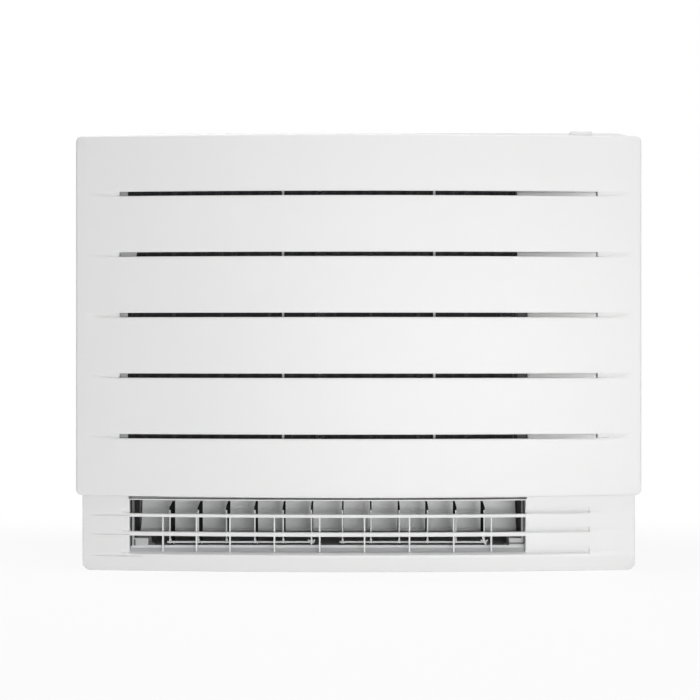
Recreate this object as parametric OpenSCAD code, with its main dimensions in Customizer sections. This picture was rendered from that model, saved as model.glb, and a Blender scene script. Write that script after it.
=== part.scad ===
/* [Overall] */
// Width of the front panel, the widest piece
panel_w = 750; // [700:2:800]
// How far the panel overhangs the casing at each side
side_overhang = 7; // [4:0.5:9]
// Height of the top at the wall
body_h = 600; // [560:2:640]
// Depth from the wall to the middle of the front panel
unit_d = 238; // [225:1:250]
// How far the front bows forward at its middle
bow = 20; // [16:1:21]
// Wall of the plastic mouldings
wall = 2.5; // [2:0.1:3]
// Gap between neighbouring pieces
gap = 0.3; // [0.2:0.05:0.4]
// Radial play of a pin in its hole
pin_play = 0.06; // [0.04:0.01:0.1]
// Corner radius of the casing seen from the front
body_corner_r = 10; // [6:1:14]

/* [Wall fixing] */
// Height of the middle of the screw pattern above the floor
fix_mid_h = 300; // [280:5:320]
// Screw spacing across
fix_w = 440; // [400:10:460]
// Screw spacing up and down
fix_h = 220; // [180:10:240]
// Radius of the screw holes
fix_hole_r = 3.25; // [2.5:0.25:4]
// Width of the wall plate
plate_w = 520; // [500:10:560]
// Height of the wall plate
plate_h = 300; // [280:10:320]
// Thickness of the wall plate
plate_t = 1.5; // [1:0.1:2]
// Depth of the hollow in the back that takes the wall plate
recess_d = 8; // [7:0.5:9]
// Radius of the holes that let a screwdriver reach the wall screws
access_r = 8; // [7:0.5:10]
// Width of a hook on the wall plate
hook_w = 30; // [20:1:36]
// Distance of each hook from the middle
hook_x = 232; // [225:1:240]
// How far a hook's lip stands up
hook_lip_h = 10; // [8:0.5:12]

/* [Casing] */
// Room between the casing's face and the middle of the panel
face_room = 34; // [33:0.1:34.5]
// Depth of the seam between rear frame and casing
seam_d = 75; // [70:1:84]
// How far the sloping deck falls to the panel
deck_drop = 23; // [18:1:26]
// Depth at which the sloping deck meets the level top
deck_rear_d = 95; // [92:1:96]
// Distance of the intake window from the casing's left side
window_left_in = 51; // [46:1:56]
// Distance of the intake window from the casing's right side
window_right_in = 155; // [150:1:160]
// Distance of the intake window above the panel's bottom edge
window_rise = 31; // [25:1:39]
// Distance of the intake window below the panel's top edge
window_drop = 39; // [35:1:47]
// Distance of the window ribs from the middle
window_rib_x = 101; // [95:1:108]
// Width of a window rib
window_rib_w = 3; // [2:0.5:5]
// Distance of the casing screws from the casing's sides
post_in = 16; // [14:1:18]
// Distance of the lower casing screws above the panel's bottom edge
post_rise = 15; // [11:1:23]
// Distance of the upper casing screws below the panel's top edge
post_drop = 19; // [15:1:27]
// Radius of a screw post
post_r = 5; // [4:0.5:6]
// Radius of a casing screw
screw_r = 1.5; // [1.25:0.25:2]
// Length of a casing screw
screw_l = 16; // [12:1:20]

/* [Front panel] */
// Thickness of the panel
panel_t = 3; // [2.5:0.1:3.5]
// Height of the panel's bottom edge
panel_bottom_h = 101; // [100.5:0.1:102]
// Corner radius of the panel
panel_corner_r = 8; // [5:1:12]
// Number of intake slots
slot_count = 5; // [4:1:5]
// Distance between slots
slot_pitch = 80; // [74:1:84]
// Height of the lowest slot
slot_h0 = 180; // [174:1:188]
// Height of a slot
slot_h = 5; // [4.5:0.5:7]
// Distance of a slot's ends from the panel's sides
slot_end_in = 59; // [53:1:75]
// Distance from the panel's sides at which the end grooves fade out
groove_end_in = 13; // [9:1:30]
// Depth of a groove beside its slot
groove_d = 2; // [1:0.1:2.2]
// Distance of the panel hinges from the middle
hinge_x = 200; // [180:5:220]
// Distance of the panel hinge axis behind the middle of the panel
hinge_room = 16; // [15.5:0.1:16.5]
// Height of the panel hinge axis above the panel's bottom edge
hinge_rise = 3; // [2.8:0.1:3.4]
// Radius of a hinge pin
hinge_pin_r = 2; // [1.75:0.05:2.1]
// Width of a hinge lug
lug_w = 4; // [3:0.5:5]
// Distance of the panel stoppers from the casing's sides
stopper_in = 30; // [28:1:38]
// Distance of the panel stoppers below the panel's top edge
stopper_drop = 57; // [47:1:72]
// Travel of a panel stopper
stopper_travel = 8; // [6:0.5:10]

/* [Outlet fascia] */
// Gap between the fascia's top and the panel's bottom edge
fascia_gap = 3; // [2.8:0.1:3.3]
// How far the fascia lies behind the panel's curve
fascia_setback = 9; // [8.9:0.1:9.2]
// Depth of the steps in the fascia
step_d = 3.5; // [2:0.5:4]
// Distance of the outlet and the ducts from the casing's left side
duct_left_in = 67; // [65:1:69]
// Distance of the outlet and the ducts from the casing's right side
duct_right_in = 147; // [146:1:149]
// Bottom edge of the outlet
outlet_h0 = 27; // [26:0.5:28]
// Height of the fascia's strip above the outlet
lintel_h = 2; // [2:0.1:2.2]
// Height of a guard bar
bar_h = 6; // [4:0.5:7]
// Depth of a guard bar
bar_d = 5; // [4:0.5:5.5]
// Distance of the upper guard bar below the outlet's top edge
bar_drop = 18; // [16:0.5:20]
// Distance between the guard bars
bar_pitch = 24; // [22:0.5:26]
// Width of a guard upright
upright_w = 2.6; // [2:0.1:4]
// Distance of the first upright from the duct's left side
upright_left_in = 43.5; // [42:0.5:46]
// Distance between the three uprights on the left
upright_side_pitch = 44.05; // [43:0.05:45]
// Distance of the last upright from the duct's right side
upright_right_in = 46.5; // [44:0.5:50]
// Distance between the last two uprights
upright_last_gap = 49.6; // [48:0.1:52]
// Depth of a guard upright
upright_d = 5; // [3:0.5:5]

/* [Outlet duct and damper] */
// Height of the duct floor above the outlet's bottom edge
floor_rise = 3; // [2.7:0.1:3.2]
// Length of the duct's level floor
floor_l = 74; // [70:1:76]
// Width of the raised blocks at the ends of the duct
block_w = 20; // [14:1:22]
// Height of the raised blocks
block_h = 12; // [7:0.5:12]
// Distance of the damper axis behind the casing's face
damper_in = 63; // [62:0.5:64]
// Distance of the damper axis below the duct's ceiling
damper_drop = 6; // [5.7:0.1:6.5]
// Radius of the damper's curve
damper_r = 80; // [74:1:90]
// Angle that the damper's curve spans
damper_sweep = 34; // [30:1:35]
// Thickness of the damper
damper_t = 2; // [1.5:0.1:2.4]
// Radius of the damper and flap journals
journal_r = 2; // [1.75:0.05:2.2]

/* [Lower louvre] */
// Blades in each group
blade_count = 6; // [4:1:6]
// Distance of the last blade from the duct's right side
blade_right_in = 53.5; // [52:0.5:56]
// Distance of the first blade from the duct's left side
blade_left_in = 49; // [47:1:51]
// Distance between the two groups of blades
blade_group_gap = 41.5; // [41:0.5:44]
// Thickness of a blade
blade_t = 1.8; // [1.4:0.1:2.2]
// How far the blades reach in front of the casing's face
blade_reach = 1; // [0:0.5:1.5]
// Length of a blade from front to back
blade_l = 45; // [41:0.5:46]
// Distance of the blade pivots behind the casing's face
pivot_in = 32; // [30:0.5:34]
// Gap between a blade and the duct's ceiling
blade_top_gap = 3; // [2:0.5:5]
// Radius of the blade pivots and link pins
pivot_r = 2; // [1.6:0.05:2.2]
// Length of the blade in front of the pivot to the link pin
crank_l = 29.5; // [28.5:0.5:30]
// Width of a link rod
rod_w = 6.4; // [6:0.1:7]
// Thickness of a link rod
rod_t = 4; // [3:0.5:4.5]

/* [Top outlet] */
// Distance of the flap axis from the rear end of the deck
flap_rear_l = 16.4; // [15.4:0.2:19.4]
// Depth of the flap axis below the deck
flap_axis_n = 6.5; // [6.3:0.1:7]
// Thickness of the flap
flap_t = 2.6; // [2:0.1:2.8]
// Distance of the flap opening from the front edge of the deck
flap_front_l = 6; // [5:0.5:8]
// Number of upper louvre blades
vane_count = 4; // [3:1:4]
// Distance between upper louvre blades
vane_pitch = 118; // [100:1:124]
// Distance of the upper louvre pivots below the panel's top edge
vane_drop = 13; // [12:0.5:14]
// Distance from an upper pivot down to its link pin
vane_crank_l = 11; // [10:0.5:12]
// Radius of the upper pivots and link pins
vane_pin_r = 1.5; // [1.3:0.05:1.7]

/* [Fan] */
// Height of the fan axis above the middle of its chamber
fan_rise = 1.5; // [-2:0.5:5]
// Room between the fan wheel and its scroll
fan_play = 10; // [6:1:26]
// Depth of the back of the fan wheel from the wall
fan_back_d = 42; // [40:1:48]
// Width of the fan's shroud ring around its inlet
shroud_w = 44; // [42:1:56]
// Number of fan blades
fan_blades = 7; // [5:1:9]
// How far the centre of a blade's arc lies inside the wheel's rim
fan_arc_in = 66; // [64:1:68]
// How far a blade's arc stops short of the wheel's middle
fan_arc_play = 8; // [7:0.5:9]
// Radius of the motor shaft
shaft_r = 4; // [3:0.5:5]
// Radius of the fan motor
motor_r = 58; // [50:1:64]
// Room between the fin pack and the bell mouth
bell_room = 11; // [10.8:0.1:11.2]
// Room between the fan scroll and the ends of its chamber
scroll_room = 28.5; // [24.5:0.5:29.5]

/* [Heat exchanger] */
// Distance of the fin pack from the duct's left side
coil_left_in = 13; // [9:1:21]
// Distance of the fin pack from the duct's right side
coil_right_in = 33; // [29:1:41]
// Distance of the fin pack above the drain pan's rim
coil_rise = 6.2; // [4.2:0.2:12.2]
// Distance of the fin pack's top below the intake window's
coil_drop = 10; // [6:1:28]
// Room between the casing's face and the fin pack
coil_room = 40; // [38:1:42]
// Thickness of the fin pack
coil_t = 28; // [26:1:30]
// Tube rows in each of the two columns
tube_rows = 10; // [6:2:10]
// Distance of the outer tube rows from the fin pack's ends
tube_edge = 35; // [26:1:50]
// Radius of a tube
tube_r = 3.5; // [3:0.25:4]
// Distance of the gas pipe from the casing's right side
gas_in = 103.5; // [103:0.5:105]
// Distance of the liquid pipe from the casing's right side
liquid_in = 118; // [117.5:0.5:121]
// Radius of the gas pipe
gas_r = 4.7625; // [4:0.25:5]
// Radius of the liquid pipe
liquid_r = 3.175; // [3:0.1:3.5]
// Radius of the gas union's nose
gas_nose_r = 7.9375; // [7:0.1:8]
// Radius of the liquid union's nose
liquid_nose_r = 5.556; // [5:0.1:6]
// Length of a union's nose
nose_l = 14; // [10:1:16]
// Height of the tips of the unions
union_h = 42; // [30:1:50]

/* [Drain] */
// Depth of the drain pan's trough
pan_h = 29; // [27:1:31]
// Distance of the drain spigot from the casing's left side
drain_in = 43; // [38:1:46]
// Outer radius of the drain spigot
drain_r = 9; // [8:0.5:10]
// Length of the drain spigot
drain_l = 28; // [20:1:34]

/* [Filters] */
// Room between the casing's face and the filter frames
filter_room = 6; // [5:0.5:7]
// Thickness of a filter frame
filter_t = 4; // [3:0.5:5]
// Width of the ledges that hold a filter
ledge_w = 90; // [40:5:140]
// Width of a bar in a filter frame
filter_bar = 4; // [3:0.5:5]
// Thickness of a filter net
net_t = 0.6; // [0.4:0.1:0.8]
// Height of a deodorising cassette
cassette_h = 56; // [50:1:64]

/* [Controls] */
// Width of the control box
box_w = 70; // [66:1:72]
// Distance of the control box from the casing's right side
box_in = 26; // [25:1:30]
// Distance of the control box above the intake window's bottom edge
box_rise = 8; // [0:1:18]
// Distance of the control box below the intake window's top edge
box_drop = 68; // [58:1:98]
// Depth of the control box
box_d = 62; // [56:1:66]
// Distance of the box's posts from its ends
box_post_in = 30; // [26:1:34]
// Sheet thickness of the control box
sheet_t = 1.2; // [1:0.1:1.5]
// Distance of the receiver housing from the casing's right side
receiver_in = 55.5; // [53:0.5:58]
// Width of the receiver housing
receiver_w = 29.5; // [28:0.5:32]
// Depth of the receiver housing from front to back
receiver_d = 26; // [25:0.5:28]
// How far the receiver housing stands up above the panel's top edge
receiver_rise = 9; // [8:0.5:12]
// Radius of the power button
button_r = 5; // [4:0.25:5.5]
// Travel of the power button
button_travel = 1.2; // [0.8:0.1:1.4]
// Radius of the cable inlet's bore
inlet_bore_r = 6; // [5:0.5:7]
// Length of the cable inlet
inlet_l = 9; // [7:0.5:9.5]
// Distance of the cable inlet from the casing's right side
inlet_in = 53; // [48:1:58]
// Height of the cable inlet
inlet_h = 90; // [80:1:100]

/* [Hidden] */
$fn = 96;
cut = 1;
half_w = panel_w / 2 - side_overhang;
bow_r = (panel_w * panel_w / 4 + bow * bow) / (2 * bow);
bow_cy = bow_r - unit_d;
bow_half_a = 7;
bow_fn = 240;
panel_top_h = body_h - deck_drop;
face_d = unit_d - face_room;
back_y = -recess_d;
inner_y = back_y - wall;
face_y = -face_d;
face_in_y = face_y + wall;
deck_a = atan(deck_drop / (face_d - deck_rear_d));
deck_l = (face_d - deck_rear_d) / cos(deck_a);
window_x0 = window_left_in - half_w;
window_x1 = half_w - window_right_in;
window_h0 = panel_bottom_h + window_rise;
window_h1 = panel_top_h - window_drop;
post_x = half_w - post_in;
post_h0 = panel_bottom_h + post_rise;
post_h1 = panel_top_h - post_drop;
slot_half = panel_w / 2 - slot_end_in;
groove_end_x = panel_w / 2 - groove_end_in;
hinge_d = unit_d - hinge_room;
hinge_h = panel_bottom_h + hinge_rise;
hinge_ear_t = 3;
hinge_ear_r = hinge_pin_r + 1.5;
stopper_x = half_w - stopper_in;
stopper_h = panel_top_h - stopper_drop;
stopper_w = 24;
stopper_t = 9.2;
fascia_top_h = panel_bottom_h - fascia_gap;
fascia_deep = 40;
duct_x0 = duct_left_in - half_w;
duct_x1 = half_w - duct_right_in;
duct_mid_x = (duct_x0 + duct_x1) / 2;
duct_out_x0 = duct_x0 - wall;
duct_out_x1 = duct_x1 + wall;
outlet_h1 = fascia_top_h - lintel_h;
bar_top_h = outlet_h1 - bar_drop;
floor_h = outlet_h0 + floor_rise;
ceiling_h = outlet_h1;
curve_d = face_d - floor_l;
curve_out_r = curve_d + inner_y - gap;
curve_in_r = curve_out_r - wall;
curve_h = floor_h + curve_in_r;
block_l = 34;
damper_play = 1.5;
journal_l = 6;
damper_d = face_d - damper_in;
damper_h = ceiling_h - damper_drop;
blade_x_left = duct_x0 + blade_left_in;
blade_gaps = 2 * (blade_count - 1);
blade_pitch = (duct_x1 - duct_x0 - blade_left_in - blade_right_in - blade_group_gap) / blade_gaps;
blade_x_right = blade_x_left + (blade_count - 1) * blade_pitch + blade_group_gap;
blade_front_d = face_d + blade_reach;
blade_rear_d = blade_front_d - blade_l;
pivot_d = face_d - pivot_in;
blade_top_h = ceiling_h - blade_top_gap;
rod_h = floor_h + 7.5;
rod_end = 4.5;
blade_step_h = rod_h + rod_t / 2 + 1;
blade_step_l = 11;
tab_h = 7;
tab_w = 2.4;
tab_d = 6.2;
pan_floor_h = ceiling_h + wall + gap;
coil_x0 = duct_x0 + coil_left_in;
coil_x1 = duct_x1 - coil_right_in;
coil_h0 = pan_floor_h + pan_h + coil_rise;
coil_h1 = window_h1 - coil_drop;
coil_front_d = face_d - coil_room;
coil_plate_t = 1.5;
coil_plate_edge = 3;
tube_pitch = (coil_h1 - coil_h0 - 2 * tube_edge) / (tube_rows - 1);
pipe_y_gas = -coil_front_d + 0.27 * coil_t;
pipe_y_liquid = -coil_front_d + 0.73 * coil_t;
pipe_bend_r = 14;
union_hex_l = 9;
gas_x = half_w - gas_in;
liquid_x = half_w - liquid_in;
drain_x = half_w - drain_in;
duct_top_h = coil_h0 - 2;
bell_top_h = window_h1 + 3;
bell_d = coil_front_d - coil_t - bell_room;
bell_lip = 10;
pan_front_d = coil_front_d + 8;
pan_rear_d = bell_d + gap;
pan_end = 12;
drain_y = -(pan_front_d + pan_rear_d) / 2;
drain_room = 8;
hand_room = 14;
scroll_r = (bell_top_h - duct_top_h) / 2 - scroll_room;
fan_h = (bell_top_h + duct_top_h) / 2 + fan_rise;
fan_r = scroll_r - fan_play;
fan_w = bell_d - 7 - fan_back_d;
inlet_r = fan_r - shroud_w;
chamber_y = inner_y - 4;
motor_front_d = fan_back_d - 4;
bracket_t = 2;
bracket_side = 18;
bracket_end = 8;
shaft_in = 14;
fan_nut_t = 5;
hub_l = 22;
fit_play = 0.05;
hub_r = shaft_r + 12;
flap_axis_l = deck_l - flap_rear_l;
flap_clear = 0.6;
flap_lip = 3;
top_duct_h = bell_top_h + 1;
top_duct_front_d = face_d - 6;
vane_bar_d = bell_d - 11;
vane_pivot_h = panel_top_h - vane_drop;
vane_room = 6;
vane_top = 7;
ledge_t = 4;
motor_small_r = 11;
motor_offset = 8;
motor_small_l = 14;
receiver_x0 = half_w - receiver_in - receiver_w;
receiver_y0 = face_in_y + 2;
receiver_wall = 2;
receiver_h0 = panel_top_h - 17;
receiver_top_h = panel_top_h + receiver_rise;
button_x = receiver_x0 + receiver_w * 0.3;
button_y = receiver_y0 + receiver_d / 2;
button_flange_t = 2;
window_lens_x = receiver_x0 + receiver_w * 0.75;
lens_w = 8;
lens_d = 16;
box_x1 = half_w - box_in;
box_x0 = box_x1 - box_w;
box_h0 = window_h0 + box_rise;
box_h1 = window_h1 - box_drop;
inlet_x = half_w - inlet_in;
filter_d = face_d - filter_room;
filter_mid_x = (window_x0 + window_x1) / 2;
filter_h0 = window_h0 + 4;
filter_h1 = window_h1 - 4;
filter_sides = [[window_x0 + 3, filter_mid_x - 2], [filter_mid_x + 2, window_x1 - 3]];
upright_x2 = duct_x0 + upright_left_in + 2 * upright_side_pitch;
upright_x7 = duct_x1 - upright_right_in - upright_last_gap;
upright_xs = concat([for (i = [0:2]) duct_x0 + upright_left_in + i * upright_side_pitch],
    [for (i = [1:5]) upright_x2 + i * (upright_x7 - upright_x2) / 5], [duct_x1 - upright_right_in]);
lower_blades = [for (i = [1:2 * blade_count]) str("lower_blade_", i)];
vanes = [for (i = [1:vane_count]) str("upper_blade_", i)];

// Front of the panel's curve, moved back by off, at a place x across
function bow_y(x, off = 0) = bow_cy - sqrt(pow(bow_r - off, 2) - x * x);
// Depth and height of a point l up the sloping deck and n above it
function deck_pt(l, n) = [face_y + l * cos(deck_a) - n * sin(deck_a),
    panel_top_h + l * sin(deck_a) + n * cos(deck_a)];
// Place across of lower blade i, counted from 1
function blade_x(i) = i <= blade_count ? blade_x_left + (i - 1) * blade_pitch
    : blade_x_right + (i - 1 - blade_count) * blade_pitch;
// Place across of upper blade i, counted from 1
function vane_x(i) = duct_mid_x + (i - (vane_count + 1) / 2) * vane_pitch;

// Moves the model so that its origin is the middle of the wall screws
module placed() {
    translate([0, 0, -fix_mid_h]) children();
}

// A block between two corners
module block(a, b) {
    translate(a) cube(b - a);
}

// Extrudes a shape drawn as depth and height across the unit
module across(x0, x1) {
    translate([x0, 0, 0]) rotate([90, 0, 90]) linear_extrude(height = x1 - x0) children();
}

// Extrudes a shape drawn as width and height from front to back
module through(y0, y1) {
    translate([0, y1, 0]) rotate([90, 0, 0]) linear_extrude(height = y1 - y0) children();
}

// A cylinder that lies across the unit
module pin_x(x0, x1, y, h, r) {
    translate([x0, y, h]) rotate([0, 90, 0]) cylinder(r = r, h = x1 - x0);
}

// A cylinder that runs from front to back
module pin_y(x, h, y0, y1, r) {
    translate([x, y1, h]) rotate([90, 0, 0]) cylinder(r = r, h = y1 - y0);
}

// A rectangle with round corners
module round_rect(x0, x1, h0, h1, r) {
    translate([x0 + r, h0]) square([x1 - x0 - 2 * r, h1 - h0]);
    translate([x0, h0 + r]) square([x1 - x0, h1 - h0 - 2 * r]);
    for (x = [x0 + r, x1 - r], h = [h0 + r, h1 - r]) translate([x, h]) circle(r = r);
}

// Turns a profile of radius and height into a piece of the bowed front
module bowed() {
    translate([0, bow_cy, 0]) rotate([0, 0, 270 - bow_half_a])
        rotate_extrude(angle = 2 * bow_half_a, $fn = bow_fn) children();
}

// A bowed slab between two distances behind the panel's curve
module bow_slab(off0, off1, h0, h1) {
    bowed() translate([bow_r - off1, h0]) square([off1 - off0, h1 - h0]);
}

// Puts its children on the sloping deck, with Y up the slope
module on_deck() {
    translate([0, face_y, panel_top_h]) rotate([deck_a, 0, 0]) children();
}

// The outline of the body seen from the front, drawn in by inset
module body_outline(inset) {
    round_rect(-half_w + inset, half_w - inset, inset, body_h - inset, body_corner_r - inset);
}

module wall_plate() color("silver") placed() {
    rib_h = 12;
    shelf_y = inner_y - 3;
    shelf_h = fix_mid_h + plate_h / 2 - hook_lip_h;
    difference() {
        union() {
            block([-plate_w / 2, -plate_t, fix_mid_h - plate_h / 2],
                [plate_w / 2, 0, fix_mid_h + plate_h / 2]);
            for (h = [fix_mid_h - fix_h / 4, fix_mid_h + fix_h / 4])
                block([-plate_w / 3, back_y + gap, h - rib_h / 2],
                    [plate_w / 3, -plate_t / 2, h + rib_h / 2]);
            for (x = [-hook_x - hook_w / 2, hook_x - hook_w / 2]) {
                block([x, shelf_y, shelf_h], [x + hook_w, -plate_t / 2, shelf_h + 2]);
                block([x, shelf_y, shelf_h + 1], [x + hook_w, shelf_y + plate_t, shelf_h + 1 + hook_lip_h]);
            }
        }
        for (x = [-fix_w / 2, fix_w / 2], h = [fix_mid_h - fix_h / 2, fix_mid_h + fix_h / 2])
            pin_y(x, h, back_y, cut, fix_hole_r);
    }
}

module rear_frame() color("white") placed() difference() {
    union() {
        difference() {
            through(-seam_d, 0) body_outline(0);
            through(-seam_d - cut, inner_y) body_outline(wall);
            through(back_y, cut) body_outline(wall);
        }
        for (x = [-post_x, post_x], h = [post_h0, post_h1])
            pin_y(x, h, face_in_y + gap, inner_y + cut, post_r);
        for (h = [box_h0 + box_post_in, box_h1 - box_post_in])
            pin_y((box_x0 + box_x1) / 2, h, box_back_y + gap, inner_y + cut, post_r);
    }
    for (x = [-post_x, post_x], h = [post_h0, post_h1])
        pin_y(x, h, face_y - cut, face_in_y + screw_l, screw_r + 0.05);
    for (x = [-fix_w / 2, fix_w / 2], h = [fix_mid_h - fix_h / 2, fix_mid_h + fix_h / 2])
        pin_y(x, h, inner_y - cut, back_y + cut, access_r);
    for (s = [-1, 1]) translate([s * hook_x, 0, fix_mid_h + plate_h / 2 + 2 - hook_lip_h])
        block([-hook_w / 2 - 1, inner_y - cut, -hook_lip_h - 4], [hook_w / 2 + 1, back_y + cut, gap]);
    pin_y(inlet_x, inlet_h, inner_y - cut, back_y + cut, inlet_bore_r + 3);
}

module casing_profile(inset) {
    low = face_y + inset;
    rear = -seam_d - gap + (inset > 0 ? cut : 0);
    drop = inset / cos(deck_a);
    polygon([[low, inset], [rear, inset], [rear, body_h - inset], [-deck_rear_d, body_h - inset],
        [low, deck_pt(inset / cos(deck_a), 0)[1] - drop]]);
}

// An ear that holds the pin of a panel hinge
module hinge_ear(x) {
    block([x, -hinge_d, hinge_h - hinge_ear_t], [x + hinge_ear_t, face_in_y, hinge_h + hinge_ear_t]);
    pin_x(x, x + hinge_ear_t, -hinge_d, hinge_h, hinge_ear_r);
}

module front_casing() color("white") placed() difference() {
    union() {
        difference() {
            intersection() {
                across(-half_w, half_w) casing_profile(0);
                through(face_y - cut, -seam_d) body_outline(0);
            }
            intersection() {
                across(-half_w, half_w) casing_profile(wall);
                through(face_y - cut, -seam_d + cut) body_outline(wall);
            }
        }
        for (s = filter_sides, h = [[window_h0 - ledge_t, filter_h0 - gap],
            [filter_h1 + gap, window_h1 + ledge_t]])
            block([(s[0] + s[1]) / 2 - ledge_w / 2, face_in_y - wall / 2, h[0]],
                [(s[0] + s[1]) / 2 + ledge_w / 2, -filter_d + filter_t, h[1]]);
        for (s = [-1, 1], e = [-lug_w / 2 - gap - hinge_ear_t, lug_w / 2 + gap]) hinge_ear(s * hinge_x + e);
    }
    intersection() {
        through(face_y - cut, face_in_y + cut) body_outline(wall);
        block([-half_w, face_y - cut, 0], [half_w, face_in_y + cut, fascia_top_h - gap]);
    }
    for (x = [[window_x0, -window_rib_x - window_rib_w / 2], [window_rib_w / 2 - window_rib_x,
        window_rib_x - window_rib_w / 2], [window_rib_x + window_rib_w / 2, window_x1]])
        block([x[0], face_y - cut, window_h0], [x[1], face_in_y + cut, window_h1]);
    on_deck() block([duct_x0, flap_front_l, -wall - cut],
        [duct_x1, flap_axis_l + 2 + journal_r + flap_lip, cut]);
    block([receiver_x0 - gap, receiver_y0 - gap, receiver_h0], [receiver_x0 + receiver_w + gap,
        receiver_y0 + receiver_d + gap, body_h]);
    for (s = [-1, 1])
        pin_x(s * hinge_x - 2 * lug_w, s * hinge_x + 2 * lug_w, -hinge_d, hinge_h, hinge_pin_r + pin_play);
    for (x = [-post_x, post_x], h = [post_h0, post_h1])
        pin_y(x, h, face_y - cut, face_in_y + cut, screw_r + 0.3);
    block([liquid_x - 2 * liquid_nose_r, pipe_y_gas - hand_room, -cut], [gas_x + hand_room,
        pipe_y_liquid + hand_room, wall + cut]);
    block([-drain_x - drain_r - drain_room, drain_y - drain_r - drain_room, -cut],
        [-drain_x + drain_r + drain_room, drain_y + drain_r + drain_room, wall + cut]);
}

foot_h = 6;
foot_d = 5;
// Height and setback of the fascia's stepped front, from the top down
fascia_steps = [[fascia_top_h, 0], [bar_top_h, step_d], [bar_top_h, 0], [bar_top_h - bar_pitch, step_d],
    [bar_top_h - bar_pitch, 0], [outlet_h0 - lintel_h, step_d],
    [outlet_h0 - lintel_h, 0], [foot_h, foot_d / 3], [0, foot_d]];

module fascia_block(off, x, h0, h1) {
    intersection() {
        bow_slab(fascia_setback + off, fascia_setback + fascia_deep, h0, h1);
        block([-x, -unit_d, h0], [x, face_y - gap, h1]);
    }
}

module outlet_fascia() color("white") placed() difference() {
    intersection() {
        union() {
            difference() {
                bowed() polygon(concat([for (s = fascia_steps) [bow_r - fascia_setback - s[1], s[0]]],
                    [for (h = [0, fascia_top_h]) [bow_r - fascia_setback - fascia_deep, h]]));
                fascia_block(step_d + wall, half_w - wall, wall, fascia_top_h - wall);
            }
            intersection() {
                fascia_block(step_d, half_w, 0, fascia_top_h);
                block([duct_out_x0, -unit_d, outlet_h0 - wall], [duct_out_x1, 0, fascia_top_h]);
            }
        }
        through(-unit_d, face_y - gap) body_outline(0);
    }
    block([duct_x0, -unit_d - cut, outlet_h0], [duct_x1, 0, outlet_h1]);
}

module guard_bars() color("white") placed() intersection() {
    union() for (i = [0, 1]) bow_slab(fascia_setback, fascia_setback + bar_d,
        bar_top_h - i * bar_pitch - bar_h, bar_top_h - i * bar_pitch);
    block([duct_x0 + gap, -unit_d, 0], [duct_x1 - gap, 0, fascia_top_h]);
}

module guard_uprights() color("white") placed() for (x = upright_xs) {
    y = max(bow_y(x - upright_w / 2, fascia_setback + bar_d),
        bow_y(x + upright_w / 2, fascia_setback + bar_d));
    block([x - upright_w / 2, y + gap, outlet_h0 + gap],
        [x + upright_w / 2, y + gap + upright_d, bar_top_h - 1]);
}

// The panel's full block, inset from its edges and behind its curve
module panel_block(inset, off, rear_y) {
    intersection() {
        bow_slab(off, 2 * fascia_deep, 0, body_h);
        through(-unit_d - cut, rear_y) round_rect(-panel_w / 2 + inset, panel_w / 2 - inset,
            panel_bottom_h + inset, panel_top_h - inset, panel_corner_r - inset);
    }
}

module slot_cut(h) {
    block([-slot_half, -unit_d - cut, h - slot_h / 2], [slot_half, face_y, h + slot_h / 2]);
    for (s = [-1, 1]) translate([0, 0, h - slot_h / 2]) linear_extrude(height = slot_h)
        polygon([[s * (slot_half - cut), bow_y(slot_half) + groove_d], [s * (slot_half - cut), -unit_d - cut],
            [s * groove_end_x, -unit_d - cut], [s * groove_end_x, bow_y(groove_end_x)]]);
}

module front_panel() color("white") placed() {
    difference() {
        panel_block(0, 0, face_y - 1);
        panel_block(panel_t, panel_t, 0);
        intersection() {
            bow_slab(2 * panel_t, 2 * fascia_deep, 0, panel_bottom_h + panel_t + cut);
            block([panel_t - panel_w / 2, -unit_d, 0], [panel_w / 2 - panel_t, 0, panel_top_h]);
        }
        for (i = [0:slot_count - 1]) slot_cut(slot_h0 + i * slot_pitch);
    }
    for (s = [-1, 1]) {
        block([s * hinge_x - lug_w / 2, bow_y(hinge_x) + panel_t / 2, panel_bottom_h],
            [s * hinge_x + lug_w / 2, -hinge_d, hinge_h + 3]);
        pin_x(s * hinge_x - lug_w / 2, s * hinge_x + lug_w / 2, -hinge_d, hinge_h, hinge_pin_r + 1);
        pin_x(s * hinge_x - lug_w * 1.5, s * hinge_x + lug_w * 1.5, -hinge_d, hinge_h, hinge_pin_r);
    }
}

module filter_frame(x0, x1) {
    cols = 4;
    rows = 6;
    cell_w = (x1 - x0 - filter_bar) / cols;
    cell_h = (filter_h1 - filter_h0 - filter_bar) / rows;
    difference() {
        block([x0, -filter_d, filter_h0], [x1, -filter_d + filter_t, filter_h1]);
        for (i = [0:cols - 1], j = [0:rows - 1])
            translate([x0 + filter_bar + i * cell_w, -filter_d - cut, filter_h0 + filter_bar + j * cell_h])
                cube([cell_w - filter_bar, filter_t + 2 * cut, cell_h - filter_bar]);
    }
    grip_w = 24;
    grip_h = 8;
    translate([(x0 + x1 - grip_w) / 2, -filter_d - 2, filter_h1 - grip_h - 2])
        cube([grip_w, filter_t - 1, grip_h]);
}

module filter_frames() color("dimgray") placed() for (s = filter_sides) filter_frame(s[0], s[1]);

module filter_nets() color("black") placed() for (s = filter_sides)
    block([s[0] + 1, -filter_d + filter_t + gap, filter_h0 + 1],
        [s[1] - 1, -filter_d + filter_t + gap + net_t,
        filter_h1 - 1]);

cassette_d = filter_d - filter_t - net_t - 2 * gap;
cassette_t = 7;
cassette_in = 20;
cassette_cells = 8;
cassette_rim = 5;

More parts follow.
